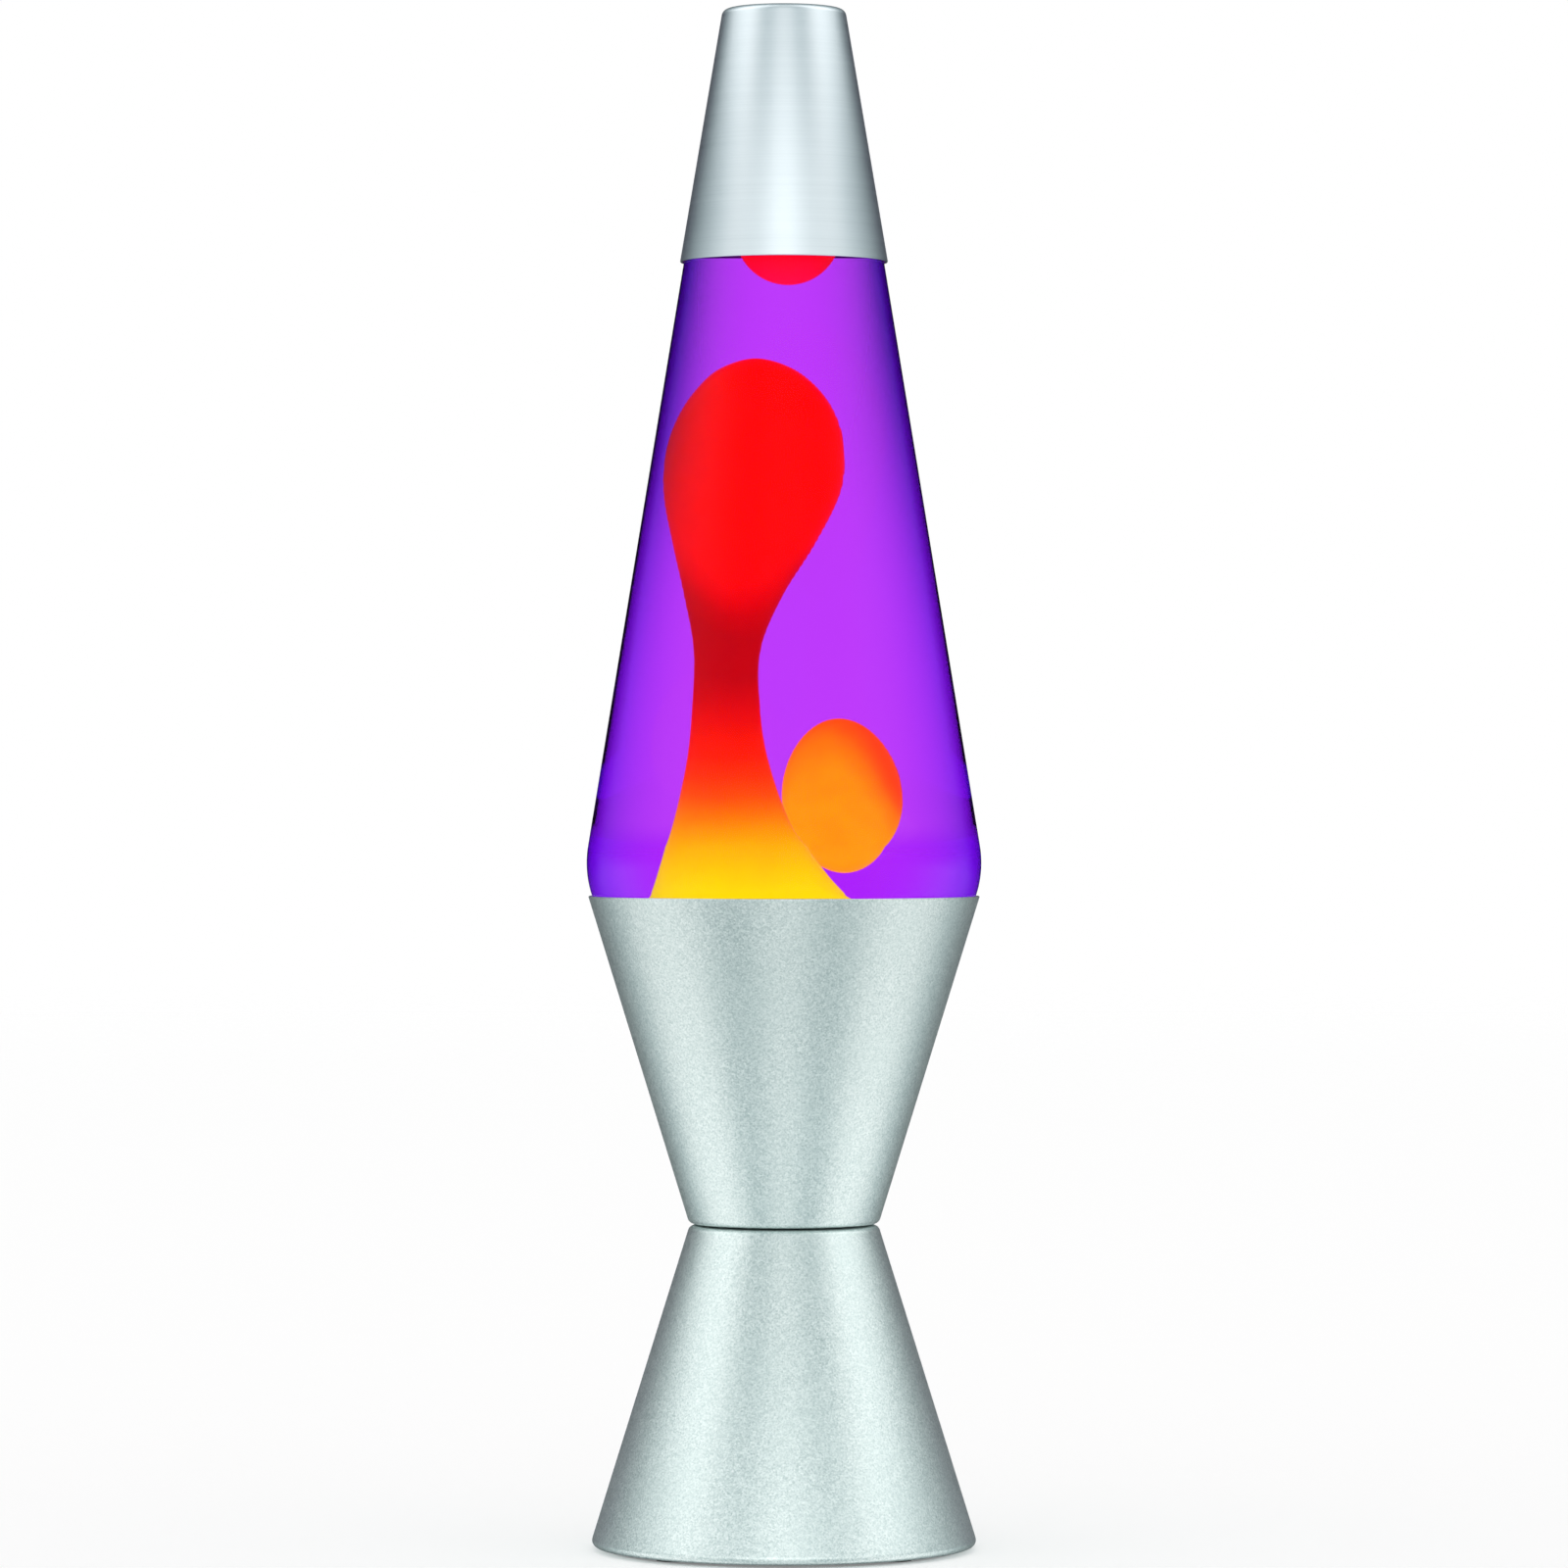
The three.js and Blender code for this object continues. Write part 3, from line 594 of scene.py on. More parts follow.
def insideCorners(inset):  # the bottle's inner wall from its floor up, moved inwards by inset
    wall = bottle["wall"] + inset
    seatSpread, taperSpread = spreadOf(wall, cupSlope), spreadOf(wall, glassSlope)
    floorTop = bottle["floor"] + bottle["floorThickness"] + inset
    bulgeShift = (seatSpread - taperSpread) / (cupSlope + glassSlope)
    bulge = bottle["bulge"] + bulgeShift
    shoulder = bottle["shoulder"] - bottle["innerDrop"]
    return [
        (seatOutside(floorTop) - seatSpread, floorTop, 5, 10),
        (bulgeRadius + bulgeShift * cupSlope - seatSpread, bulge, bottle["bulgeRound"] - wall, 28),
        (glassOutside(shoulder) - taperSpread, shoulder, 7, 10),
        (bottle["mouthRadius"] - inset, bottle["neckFoot"] - bottle["innerDrop"], 4, 8),
    ]


def bottleGlass():
    f = Finish("bottleGlass")
    # painted edge shade: the tint darkens towards the glass's sides by facing, more so higher up
    facing = f.node("LayerWeight", None, {"Blend": 0.5}, out="Facing")
    rising = f.height().step(*bottle["paintedEdgeShadeHeights"])
    edge = (facing + rising * 0.1).step(*bottle["paintedEdgeShadeFrom"])
    tint = f.spread(bottle["tint"], f.spread(bottle["paintedEdgeShadeLow"], bottle["paintedEdgeShadeHigh"], rising), edge)
    # painted shade: the back wall is tinted deeper violet low down
    paintedBackWallShade = f.along("Y").step(*bottle["paintedBackWallShadeY"]) * f.height().step(*bottle["paintedBackWallShadeHeights"])
    smudge = f.grain(14, 5, 0.6).step(0.55, 0.8)
    return f.surface({
        "Base Color": f.spread(tint, bottle["paintedBackWallShadeTint"], paintedBackWallShade, "MULTIPLY"), "Transmission Weight": 1.0,
        "IOR": 1.5, "Roughness": smudge * 0.02, "Specular Tint": (0.06, 0.06, 0.06),
        "Normal": f.bump(f.grain(26, 2), 0.05, 0.0004)})


def violetLiquid():
    f = Finish("violetLiquid")
    swirl = f.grain(30, 3, 0.5, stretch=(1, 1, 0.4))
    return f.surface({
        "Base Color": f.spread(liquid["tint"], tuple(part * 0.96 for part in liquid["tint"]), swirl),
        "Transmission Weight": 1.0, "IOR": 1.333, "Roughness": 0.0, "Specular Tint": (0.05, 0.05, 0.05)})


def makeBottle():
    inner = insideCorners(0)
    heel = (seatOutside(bottle["floor"]), bottle["floor"])
    shoulder = (bottle["shoulderRadius"], bottle["shoulder"])
    asPiece("bottle_glass", lathe([
        (0, bottle["floor"]),
        (*heel, bottle["floorRound"], 10),
        *arcRun(heel, (bulgeRadius, bottle["bulge"], bottle["bulgeRound"], 32), shoulder),
        (*shoulder, bottle["shoulderRound"], 12),
        (bottle["neckRadius"], bottle["neckFoot"], 4, 8),
        (bottle["neckRadius"], bottle["lipFoot"], 0.6, 3),
        (bottle["lipRadius"], bottle["lipFoot"] + 0.8, 0.5, 3),
        (bottle["lipRadius"], bottle["mouthTop"], 0.9, 6),
        (bottle["mouthRadius"], bottle["mouthTop"], 0.7, 4),
        *reversed([inner[0], *arcRun(*inner[:3]), *inner[2:]]),
        (0, inner[0][1]),
    ], bottle["steps"]), bottleGlass(), "globe", ["globe_bottle"], sharpFrom=60)


def makeLiquid():
    floorCorner, bulgeCorner, shoulderCorner, _ = insideCorners(-liquid["overlap"])
    surface = liquid["surface"]
    edge = shoulderCorner[0] + (shoulderCorner[1] - surface) * glassSlope
    asPiece("violet_liquid", lathe([
        (0, floorCorner[1]), floorCorner, *arcRun(floorCorner, bulgeCorner, shoulderCorner),
        (edge, surface + liquid["meniscus"]),
        (edge - liquid["meniscusWidth"], surface, 1.0, 5),
        (0, surface),
    ], bottle["steps"]), violetLiquid(), "globe", ["liquid"], sharpFrom=60)


makeBottle()
makeLiquid()
print("bottle and liquid made")


# wax

wax = {
    "flowGap": 0.3, "poolRise": 7.0, "columnTop": 283.6, "steps": 96, "perSpan": 12,
    "stations": [  # share of the height from the pool to the top, lean along X, radius
        (0.035, -0.8, 30.8), (0.085, -2.6, 27.2), (0.13, -4.8, 21.6), (0.176, -7.6, 15.2),
        (0.227, -9.3, 11.1), (0.3375, -10.2, 7.45), (0.4335, -10.5, 6.1), (0.524, -10.3, 6.1),
        (0.61, -9.2, 8.9), (0.695, -7.35, 12.85), (0.78, -5.95, 16.0), (0.85, -5.4, 16.1),
        (0.905, -5.0, 14.3), (0.95, -4.9, 11.0), (0.984, -5.1, 6.4),
    ],
    "topLean": -5.2, "runOut": 5,  # how far the line of its lean runs past the wax
    # middle, arch and archFrom place the painted side shade: the neck's dark red reaches up the head's sides
    "body": (0.5, 0.0, 0.0), "mottle": 0.1, "middle": -8.6, "arch": 0.08, "archFrom": 200,
    "low": 150, "high": 240, "glow": [  # painted glow colours by height: yellow low down in place of the bulb's light through the wax, darker red in the neck as painted shade
        (150, (255, 236, 20)), (159.7, (254, 224, 6)), (164.4, (253, 196, 3)), (169.1, (252, 162, 3)),
        (173.8, (254, 122, 3)), (178.5, (255, 78, 6)), (183.2, (254, 50, 5)), (187.9, (252, 30, 4)),
        (192.6, (242, 19, 2)), (197.3, (225, 5, 6)), (202, (200, 1, 8)), (206.7, (180, 0, 8)),
        (216.1, (176, 0, 8)), (220.8, (196, 0, 7)), (225.5, (232, 0, 6)), (230.2, (252, 3, 6)),
        (240, (255, 5, 4)),
    ],
}
bead = {
    "centre": (9.5, 12.0, 179.1), "halfWidth": 9.9, "halfHeight": 17.6, "taper": 0.1, "lean": 0.05,
    "settleFrom": 166.1, "settle": 0.4, "steps": 64,
    # a negative arch paints its sides with the redder colours from higher up, as painted shading
    "body": (0.7, 0.15, 0.0), "mottle": 0.3, "middle": 7.5, "arch": -0.15,
    # painted glow colours by height, redder towards its top
    "low": 160, "high": 200, "glow": [
        (161, (252, 130, 12)), (166, (253, 142, 11)), (175, (255, 150, 12)), (185, (255, 144, 12)),
        (192, (254, 118, 10)), (196, (255, 84, 12)), (199.5, (255, 66, 14)),
    ],
}
topBlob = {
    "centre": (0.7, 0.0, 314.4), "halfWidth": 9.6, "halfHeight": 13.2, "taper": 0, "lean": 0,
    "settleFrom": 0, "settle": 0, "steps": 64,
    "body": (0.5, 0.0, 0.01), "mottle": 0.1, "middle": 0, "arch": 0,
    # painted glow colours by height, crimson at its foot
    "low": 300, "high": 330, "glow": [
        (302, (250, 5, 66)), (308, (253, 4, 30)), (312, (253, 4, 24)), (330, (255, 6, 20)),
    ],
}
# the painted glow's strength, and the drift, limit and fade of its colours and its painted side shade
paintedWaxGlow = {"strength": 4.0, "drift": 5, "paintedSideShadeLimit": 9, "archFade": 16}
waxThrough = [g * math.sqrt(k) for g, k in zip(bottle["tint"], liquid["tint"])]  # what reaches the eye


def paintedGlowColour(colour):  # painted glow: light given to the wax in place of the bulb's light through it, which looks this display colour through glass and liquid
    return tuple(min(1.0, c / t / paintedWaxGlow["strength"]) for c, t in zip(linear(*colour), waxThrough))


def waxFinish(name, facts):
    f = Finish(name)
    low, high, body = facts["low"], facts["high"], facts["body"]
    drift = f.grain(55, 3, 0.5)
    spots = f.grain(260, 4, 0.65)
    aside = f.along("X") / mm - facts["middle"]
    paintedSideShadeBend = facts["arch"]
    if "archFrom" in facts:
        paintedSideShadeBend = f.height().step(facts["archFrom"], facts["archFrom"] + paintedWaxGlow["archFade"], 0, paintedSideShadeBend)
    paintedSideShade = f.place.maths("MINIMUM", aside ** 2 * paintedSideShadeBend, paintedWaxGlow["paintedSideShadeLimit"])  # painted side shade: the colours hang lower at its sides
    climb = (f.height() + (drift - 0.5) * paintedWaxGlow["drift"] - paintedSideShade - low) / (high - low)
    # painted glow: the wax shines by height in place of being lit by the bulb below
    glow = f.ramp(climb, [((z - low) / (high - low), paintedGlowColour(colour)) for z, colour in facts["glow"]])
    glow = f.spread(glow, (0.55, 0.5, 0.5), spots.step(0.35, 0.75, 0, facts["mottle"]), "MULTIPLY")
    return f.surface({
        "Base Color": f.spread(body, tuple(part * 0.9 for part in body), spots),
        "Roughness": 0.35 + spots * 0.15, "Specular IOR Level": 0.0,
        "Emission Color": glow, "Emission Strength": paintedWaxGlow["strength"],
        "Sheen Weight": 0.5, "Sheen Roughness": 0.25, "Sheen Tint": (1, 0.35, 0.9),
        "Normal": f.bump(drift, 0.1, 0.0006)})


def makeWaxPillar():
    floorCorner = insideCorners(wax["flowGap"])[0]
    poolFloor, poolRim = floorCorner[1], floorCorner[1] + wax["poolRise"]
    wallAtRim = seatOutside(poolRim) - spreadOf(bottle["wall"] + wax["flowGap"], cupSlope)
    climb = wax["columnTop"] - poolRim
    heights = [poolRim + share * climb for share, _, _ in wax["stations"]]
    side = smoothRun([Vector((wallAtRim, poolRim)), *(
        Vector((radius, z)) for z, (_, _, radius) in zip(heights, wax["stations"])),
        Vector((0, wax["columnTop"])), Vector((-wax["stations"][-1][2], heights[-1]))], wax["perSpan"])
    side = side[:-wax["perSpan"]]
    lean = smoothRun([Vector((0, poolFloor - wax["runOut"])), Vector((0, poolRim)), *(
        Vector((x, z)) for z, (_, x, _) in zip(heights, wax["stations"])),
        Vector((wax["topLean"], wax["columnTop"] + wax["runOut"]))], wax["perSpan"])
    leanHeights = [p.y for p in lean]
    bm = lathe([
        (0, poolFloor), (floorCorner[0], poolFloor, 5, 8), *((p.x, p.y) for p in side[:-1]), (0, side[-1].y),
    ], wax["steps"])
    for v in bm.verts:
        z = v.co.z / mm
        above = max(1, bisect.bisect(leanHeights, z))
        low, high = lean[above - 1], lean[above]
        shift = low.x + (high.x - low.x) * (z - low.y) / (high.y - low.y)
        v.co.x += shift * mm if z > poolRim else 0
    asPiece("wax_pillar", bm, waxFinish("pillarWax", wax), "globe", ["wax_column"], sharpFrom=60)


def ballOf(facts):
    bm = bmesh.new()
    bmesh.ops.create_uvsphere(bm, u_segments=facts["steps"], v_segments=facts["steps"] // 2, radius=mm)
    for v in bm.verts:  # a little fuller below its middle, its foot off to one side
        v.co.xy *= 1 - facts["taper"] * v.co.z / mm
        v.co.x -= facts["lean"] * v.co.z
    bmesh.ops.scale(bm, verts=bm.verts[:], vec=(facts["halfWidth"], facts["halfWidth"], facts["halfHeight"]))
    moved(bm, facts["centre"])
    for v in bm.verts:  # its foot sags flat on the warm wax
        depth = facts["settleFrom"] - v.co.z / mm
        if depth > 0:
            v.co.z += facts["settle"] * depth ** 2 / (depth + 1) * mm
    return bm


def makeWaxDrops():
    asPiece("wax_bead", ballOf(bead), waxFinish("beadWax", bead), "drop", ["wax_drop"],
            sharpFrom=60)
    asPiece("wax_blob", ballOf(topBlob), waxFinish("blobWax", topBlob), "top_blob", ["wax_top"],
            sharpFrom=60)


makeWaxPillar()
makeWaxDrops()
print("wax poured")


# cap

cap = {"rim": 308.1, "top": 368.8, "rimInside": 24.31, "leanIn": 0.28, "cornerRound": 1.8, "steps": 192}


def brushedSilver():
    f = Finish("brushedSilver")
    lines = f.grain(1, 4, 0.7, stretch=(14, 14, 5200))
    broad = f.grain(1, 2, 0.5, stretch=(6, 6, 700))
    scuff = f.grain(300, 4, 0.7).step(0.6, 0.85)
    tone = f.spread((0.60, 0.67, 0.70), (0.78, 0.85, 0.88), lines * 0.6 + broad * 0.4)
    rough = 0.37 + (lines - 0.5) * 0.2 + scuff * 0.05
    return f.surface({
        "Base Color": tone, "Metallic": 1.0, "Roughness": rough,
        "Normal": f.bump(lines * 0.7 + broad * 0.3, 0.3, 0.00006)})


def makeCap():
    sheet = sheetMetal["sheet"]
    slope = glassSlope + cap["leanIn"] / (cap["top"] - cap["rim"])
    spread = spreadOf(sheet, slope)
    height = cap["top"] - cap["rim"]
    rimOutside = cap["rimInside"] + spread
    asPiece("cap_spun", lathe([
        (cap["rimInside"], cap["rim"], 0.15, 2),
        (rimOutside, cap["rim"], 0.25, 3),
        (rimOutside - height * slope, cap["top"], cap["cornerRound"], 10),
        (0, cap["top"]),
        (0, cap["top"] - sheet),
        (cap["rimInside"] - (height - sheet) * slope, cap["top"] - sheet, 1.2, 6),
        (cap["rimInside"], cap["rim"] + 0.15),
    ], cap["steps"]), brushedSilver(), "cap", ["cap_shell"])


makeCap()
print("cap spun")


# crown

crown = {
    "foot": 348.6, "inside": 13.8, "sheet": 0.4, "shoulder": 354.1, "edge": 13.4, "under": 354.9,
    "top": 355.3, "panel": 11.4, "panelRim": 12.2, "panelRise": 0.1, "rows": 8, "rowRise": 0.55,
    "flutes": 21, "fluteDepth": 0.34, "flutesFrom": 13, "perFlute": 9,
}
liner = {"radius": 12.8, "bottom": 353.1, "top": 354.85, "hollow": 0.2, "hollowRadius": 8.6, "ridge": 9.4}


def tinplate():
    f = Finish("tinplate")
    rolled = f.grain(1, 3, 0.6, stretch=(1400, 60, 1400))
    spots = f.grain(500, 4, 0.7).step(0.6, 0.8)
    tone = f.spread(f.spread((0.62, 0.61, 0.58), (0.78, 0.77, 0.74), rolled), (0.42, 0.38, 0.32), spots * 0.4)
    return f.plain(tone, rolled, 0.28 + spots * 0.15, 0.14, (0.2, 0.00004), 1.0)


def linerPlastic():
    f = Finish("linerPlastic")
    crumb = f.grain(900, 3, 0.6)
    tone = f.spread((0.66, 0.62, 0.52), (0.78, 0.74, 0.64), crumb)
    return f.plain(tone, crumb, 0.7, 0.2, (0.3, 0.0001))


def makeCrown():
    outside, panelTop = crown["inside"] + crown["sheet"], crown["top"] + crown["panelRise"]
    rows = [crown["foot"] + crown["rowRise"] * k for k in range(1, crown["rows"] + 1)]
    shell = lathe([
        (0, panelTop), (crown["panel"], panelTop, 1.5, 4), (crown["panelRim"], crown["top"], 0.8, 4),
        (crown["edge"], crown["top"], 0.7, 5), (outside, crown["shoulder"], 0.8, 4),
        *((outside, z) for z in reversed(rows)), (outside, crown["foot"], 0.12, 2),
        (crown["inside"], crown["foot"], 0.12, 2), *((crown["inside"], z) for z in rows),
        (crown["inside"], crown["shoulder"], 0.5, 3), (crown["edge"] - 0.2, crown["under"], 0.4, 3),
        (0, crown["under"]),
    ], crown["flutes"] * crown["perFlute"])
    wave(shell, crown["fluteDepth"], crown["flutes"], crown["foot"], crown["shoulder"], crown["flutesFrom"])
    asPiece("crown_crimped", shell, tinplate(), "globe", ["crown_cap"])
    hollow = liner["bottom"] + liner["hollow"]
    asPiece("crown_seal", lathe([
        (0, hollow), (liner["hollowRadius"], hollow, 0.3, 3), (liner["ridge"], liner["bottom"], 0.3, 3),
        (liner["radius"], liner["bottom"], 0.4, 4), (liner["radius"], liner["top"], 0.3, 3),
        (0, liner["top"]),
    ], 96), linerPlastic(), "globe", ["crown_liner"])


makeCrown()
print("crown crimped")


# heating coil

coil = {"ring": 24.0, "section": 2.1, "wire": 0.3, "height": 132.5, "turns": 76, "perTurn": 14}


def springSteel():
    f = Finish("springSteel")
    streak = f.grain(700, 3, 0.6)
    tone = f.spread((0.42, 0.42, 0.43), (0.62, 0.62, 0.63), streak)
    return f.plain(tone, streak, 0.3, 0.2, (0.2, 0.00003), 1.0)


steel = springSteel()


def makeCoil():
    count = coil["turns"] * coil["perTurn"]
    points = []
    for i in range(count):
        around, twist = fullTurn * i / count, fullTurn * i / coil["perTurn"]
        reach = coil["ring"] + coil["section"] * math.cos(twist)
        points.append(Vector((reach * math.cos(around), reach * math.sin(around),
                              coil["height"] + coil["section"] * math.sin(twist))))
    asPiece("heating_spring", wireOf(points, coil["wire"], 1, closed=True), steel, "globe",
            ["heating_coil"], sharpFrom=80)


makeCoil()
print("coil wound")


# bulb

bulb = {
    "ballCentre": 101.7, "ballRadius": 17.5, "wall": 0.8, "neckRadius": 6.4, "neckFoot": 78.1,
    "flare": [(6.4, 83.4), (6.9, 84.3), (8.4, 85.6), (11.3, 88.4)],
    "ballFrom": -32, "ballStep": 4,  # degrees
}
bulbThread = {
    "middle": 7.925, "depth": 0.62, "pitch": 2.82, "threadLow": 65.3, "threadHigh": 80.3,
    "low": 63.9, "high": 83.1, "plainLow": 7.0, "plainHigh": 7.75, "sheet": 0.35,
}
bulbFoot = {
    "bottom": 60.5, "tipRadius": 2.6, "tipFlat": 1.6, "tip": 0.6, "tipEdge": 0.35, "insulatorEye": 3.4,
    "insulatorRadius": 6.4, "insulatorShoulder": 63.6, "insulatorTop": 64.9,
}
stem = {
    "foot": 79.1, "radius": 5.0, "waist": 88.2, "waistRadius": 1.7, "top": 95.7, "flare": 0.6, "bead": 0.3,
}
filament = {
    "halfSpan": 7.0, "lead": 0.28, "wire": 0.07, "coil": 0.42, "turns": 44, "perTurn": 10,
    "leadLine": [(1, 0.05), (1.6, 1.5), (4, 4)],  # across, and above the stem
    "arch": [(-1, -1), (-0.6, 2), (0, 3), (0.6, 2), (1, -1)],  # share of the span, above the ball's centre
}


def clearGlass():
    f = Finish("clearGlass")
    waves = f.grain(90, 2)
    dust = f.grain(30, 4, 0.6).step(0.5, 0.8)
    return f.surface({"Base Color": (0.97, 0.98, 0.98, 1), "Transmission Weight": 1.0, "IOR": 1.47,
                      "Roughness": 0.01 + dust * 0.04, "Normal": f.bump(waves, 0.08, 0.0002)})


def rubbedMetal(name, dark, light, tarnish, rough, scale=900):
    f = Finish(name)
    rub = f.grain(scale, 3, 0.6)
    stain = f.grain(150, 4, 0.65).step(0.5, 0.8)
    tone = f.spread(f.spread(dark, light, rub), tarnish, stain * 0.5)
    return f.plain(tone, rub, rough + stain * 0.15, 0.12, (0.2, 0.00004), 1.0)


def darkResin():
    f = Finish("darkResin")
    marble = f.grain(220, 5, 0.65)
    fine = f.grain(1800, 2)
    tone = f.spread((0.012, 0.011, 0.011), (0.035, 0.03, 0.027), marble)
    return f.plain(tone, fine, 0.35, 0.2, (0.2, 0.00004))


def glowingWire():
    f = Finish("glowingWire")
    heat = f.grain(500, 2)
    glow = f.spread((1.0, 0.62, 0.2), (1.0, 0.78, 0.4), heat)
    return f.surface({"Base Color": (0.3, 0.28, 0.26, 1), "Metallic": 1.0, "Roughness": 0.4 + heat * 0.2,
                      "Emission Color": glow, "Emission Strength": 9.0})


glass = clearGlass()
resin = darkResin()
brass = rubbedMetal("brass", (0.62, 0.42, 0.14), (0.8, 0.6, 0.26), (0.35, 0.2, 0.08), 0.26)
nickel = rubbedMetal("nickel", (0.58, 0.56, 0.52), (0.75, 0.73, 0.69), (0.4, 0.37, 0.32), 0.22)
solder = rubbedMetal("solder", (0.45, 0.45, 0.44), (0.66, 0.66, 0.65), (0.3, 0.3, 0.3), 0.38, 1500)


def bulbWall(inset):
    ball = [Vector(((bulb["ballRadius"] - inset) * math.cos(math.radians(a)),
                    bulb["ballCentre"] + (bulb["ballRadius"] - inset) * math.sin(math.radians(a))))
            for a in range(bulb["ballFrom"], 90, bulb["ballStep"])]
    flare = smoothRun([Vector((r - inset, z)) for r, z in bulb["flare"]] + [ball[0]], 5)
    return [(bulb["neckRadius"] - inset, bulb["neckFoot"])] + [(p.x, p.y) for p in flare[:-1] + ball]


def makeBulb():
    outside, inside = bulbWall(0), bulbWall(bulb["wall"])
    top = bulb["ballCentre"] + bulb["ballRadius"]
    asPiece("bulb_envelope", lathe([
        *outside, (0, top), (0, top - bulb["wall"]), *reversed(inside), outside[0],
    ], 96), glass, "bulb", ["bulb_glass"], sharpFrom=50)
    asPiece("bulb_screw_shell", threaded(bulbThread), nickel, "bulb", ["bulb_shell"])
    bottom, tipTop = bulbFoot["bottom"], bulbFoot["bottom"] + bulbFoot["tip"]
    tipRadius, skin = bulbFoot["tipRadius"], bulbFoot["insulatorRadius"]
    asPiece("bulb_insulator_ring", lathe([
        (0, tipTop + 0.1), (bulbFoot["insulatorEye"], tipTop + 0.1, 0.5, 4),
        (skin, bulbFoot["insulatorShoulder"], 0.6, 4), (skin, bulbFoot["insulatorTop"]),
        (0, bulbFoot["insulatorTop"]),
    ], 64), resin, "bulb", ["bulb_insulator"])
    asPiece("bulb_tip_solder", lathe([
        (0, bottom), (bulbFoot["tipFlat"], bottom + 0.02, 2.5, 4),
        (tipRadius, bottom + bulbFoot["tipEdge"], 0.25, 4), (tipRadius - 0.3, tipTop), (0, tipTop),
    ], 48), solder, "bulb_rising", ["bulb_tip"])
    waist, pinch, swell = stem["waistRadius"], stem["waist"] - 2, stem["waistRadius"] + stem["bead"]
    asPiece("bulb_stem_glass", lathe([
        (0, stem["foot"]), (stem["radius"], stem["foot"], 0.6, 4), (waist + stem["flare"], pinch, 3, 6),
        (waist, stem["top"] - 2, 1, 3), (swell, stem["top"] - 0.8, 0.5, 3), (swell, stem["top"], 0.4, 3),
        (0, stem["top"]),
    ], 48), glass, "bulb", ["bulb_stem"], sharpFrom=50)


def makeFilament():
    centre, half = bulb["ballCentre"], filament["halfSpan"]
    run = [(x, stem["top"] + z) for x, z in filament["leadLine"]] + [(half, centre + filament["arch"][0][1])]
    leads = bmesh.new()
    for way in (-1, 1):
        line = smoothRun([Vector((way * x, 0, z)) for x, z in run], 6)
        held = meshOf("lead", wireOf(line, filament["lead"], 2))
        leads.from_mesh(held)
        bpy.data.meshes.remove(held)
    asPiece("bulb_leads", leads, nickel, "bulb", sharpFrom=60)
    arch = smoothRun([Vector((half * x, 0, centre + z)) for x, z in filament["arch"]], 40)
    points = []
    count = filament["turns"] * filament["perTurn"]
    for i in range(count + 1):
        at = i / count * (len(arch) - 1)
        low = min(int(at), len(arch) - 2)
        along = (arch[low + 1] - arch[low]).normalized()
        side, up = Vector((0, 1, 0)), along.cross(Vector((0, 1, 0)))
        twist = fullTurn * i / filament["perTurn"]
        points.append(arch[low].lerp(arch[low + 1], at - low)
                      + (side * math.cos(twist) + up * math.sin(twist)) * filament["coil"])
    asPiece("bulb_filament_coil", wireOf(points, filament["wire"], 1), glowingWire(), "bulb",
            ["bulb_filament"], sharpFrom=80)


makeBulb()
makeFilament()
print("bulb made")


# socket

socket = {
    "bottom": 54.0, "floor": 57.0, "footRadius": 11.15, "step": 63.0, "radius": 12.15, "inside": 9.35,
    "collarRadius": 15.15, "collarBottom": 78.9, "top": 81.0,
}
sleeve = {
    "middle": 8.84, "depth": 0.3, "pitch": 2.82, "threadLow": 63.4, "threadHigh": 78.0,
    "low": 61.5, "high": 79.5, "plainLow": 8.95, "plainHigh": 9.0, "sheet": 0.2,
}
screw = {"height": 58.5, "shank": 1.5, "shankFrom": 9.75, "head": 2.5, "headFrom": 11.45, "headTop": 12.65,
         "dome": 13.05, "domeFlat": 1.2, "slotWidth": 0.6, "slotDepth": 0.7, "hole": 1.8,
         "drill": (9.15, 13.15)}
washer = {"inside": 12.45, "outside": 16.25, "low": 75.9, "high": 76.7, "teeth": 16, "toothDepth": 0.3}
clampRing = {"inside": 12.45, "outside": 17.05, "low": 71.6, "high": 75.6, "ribs": 28, "ribDepth": 0.25}
leadCover = {"hole": 3.4, "inside": 14.05, "outside": 15.15, "bottom": 48.5, "floor": 1.1, "top": 62.0}


def atTerminal(bm, angle):  # lays a shape made on the Z axis along X at the terminals' height
    rotated(bm, math.pi / 2, "Y")
    moved(bm, (0, 0, screw["height"]))
    return rotated(bm, angle, "Z")


def slotCutter():
    bm = bmesh.new()
    bmesh.ops.create_cube(bm, size=mm)
    size = (screw["slotWidth"], 3 * screw["head"], 2 * screw["slotDepth"])
    bmesh.ops.scale(bm, verts=bm.verts[:], vec=size)
    return moved(bm, (0, 0, screw["dome"]))


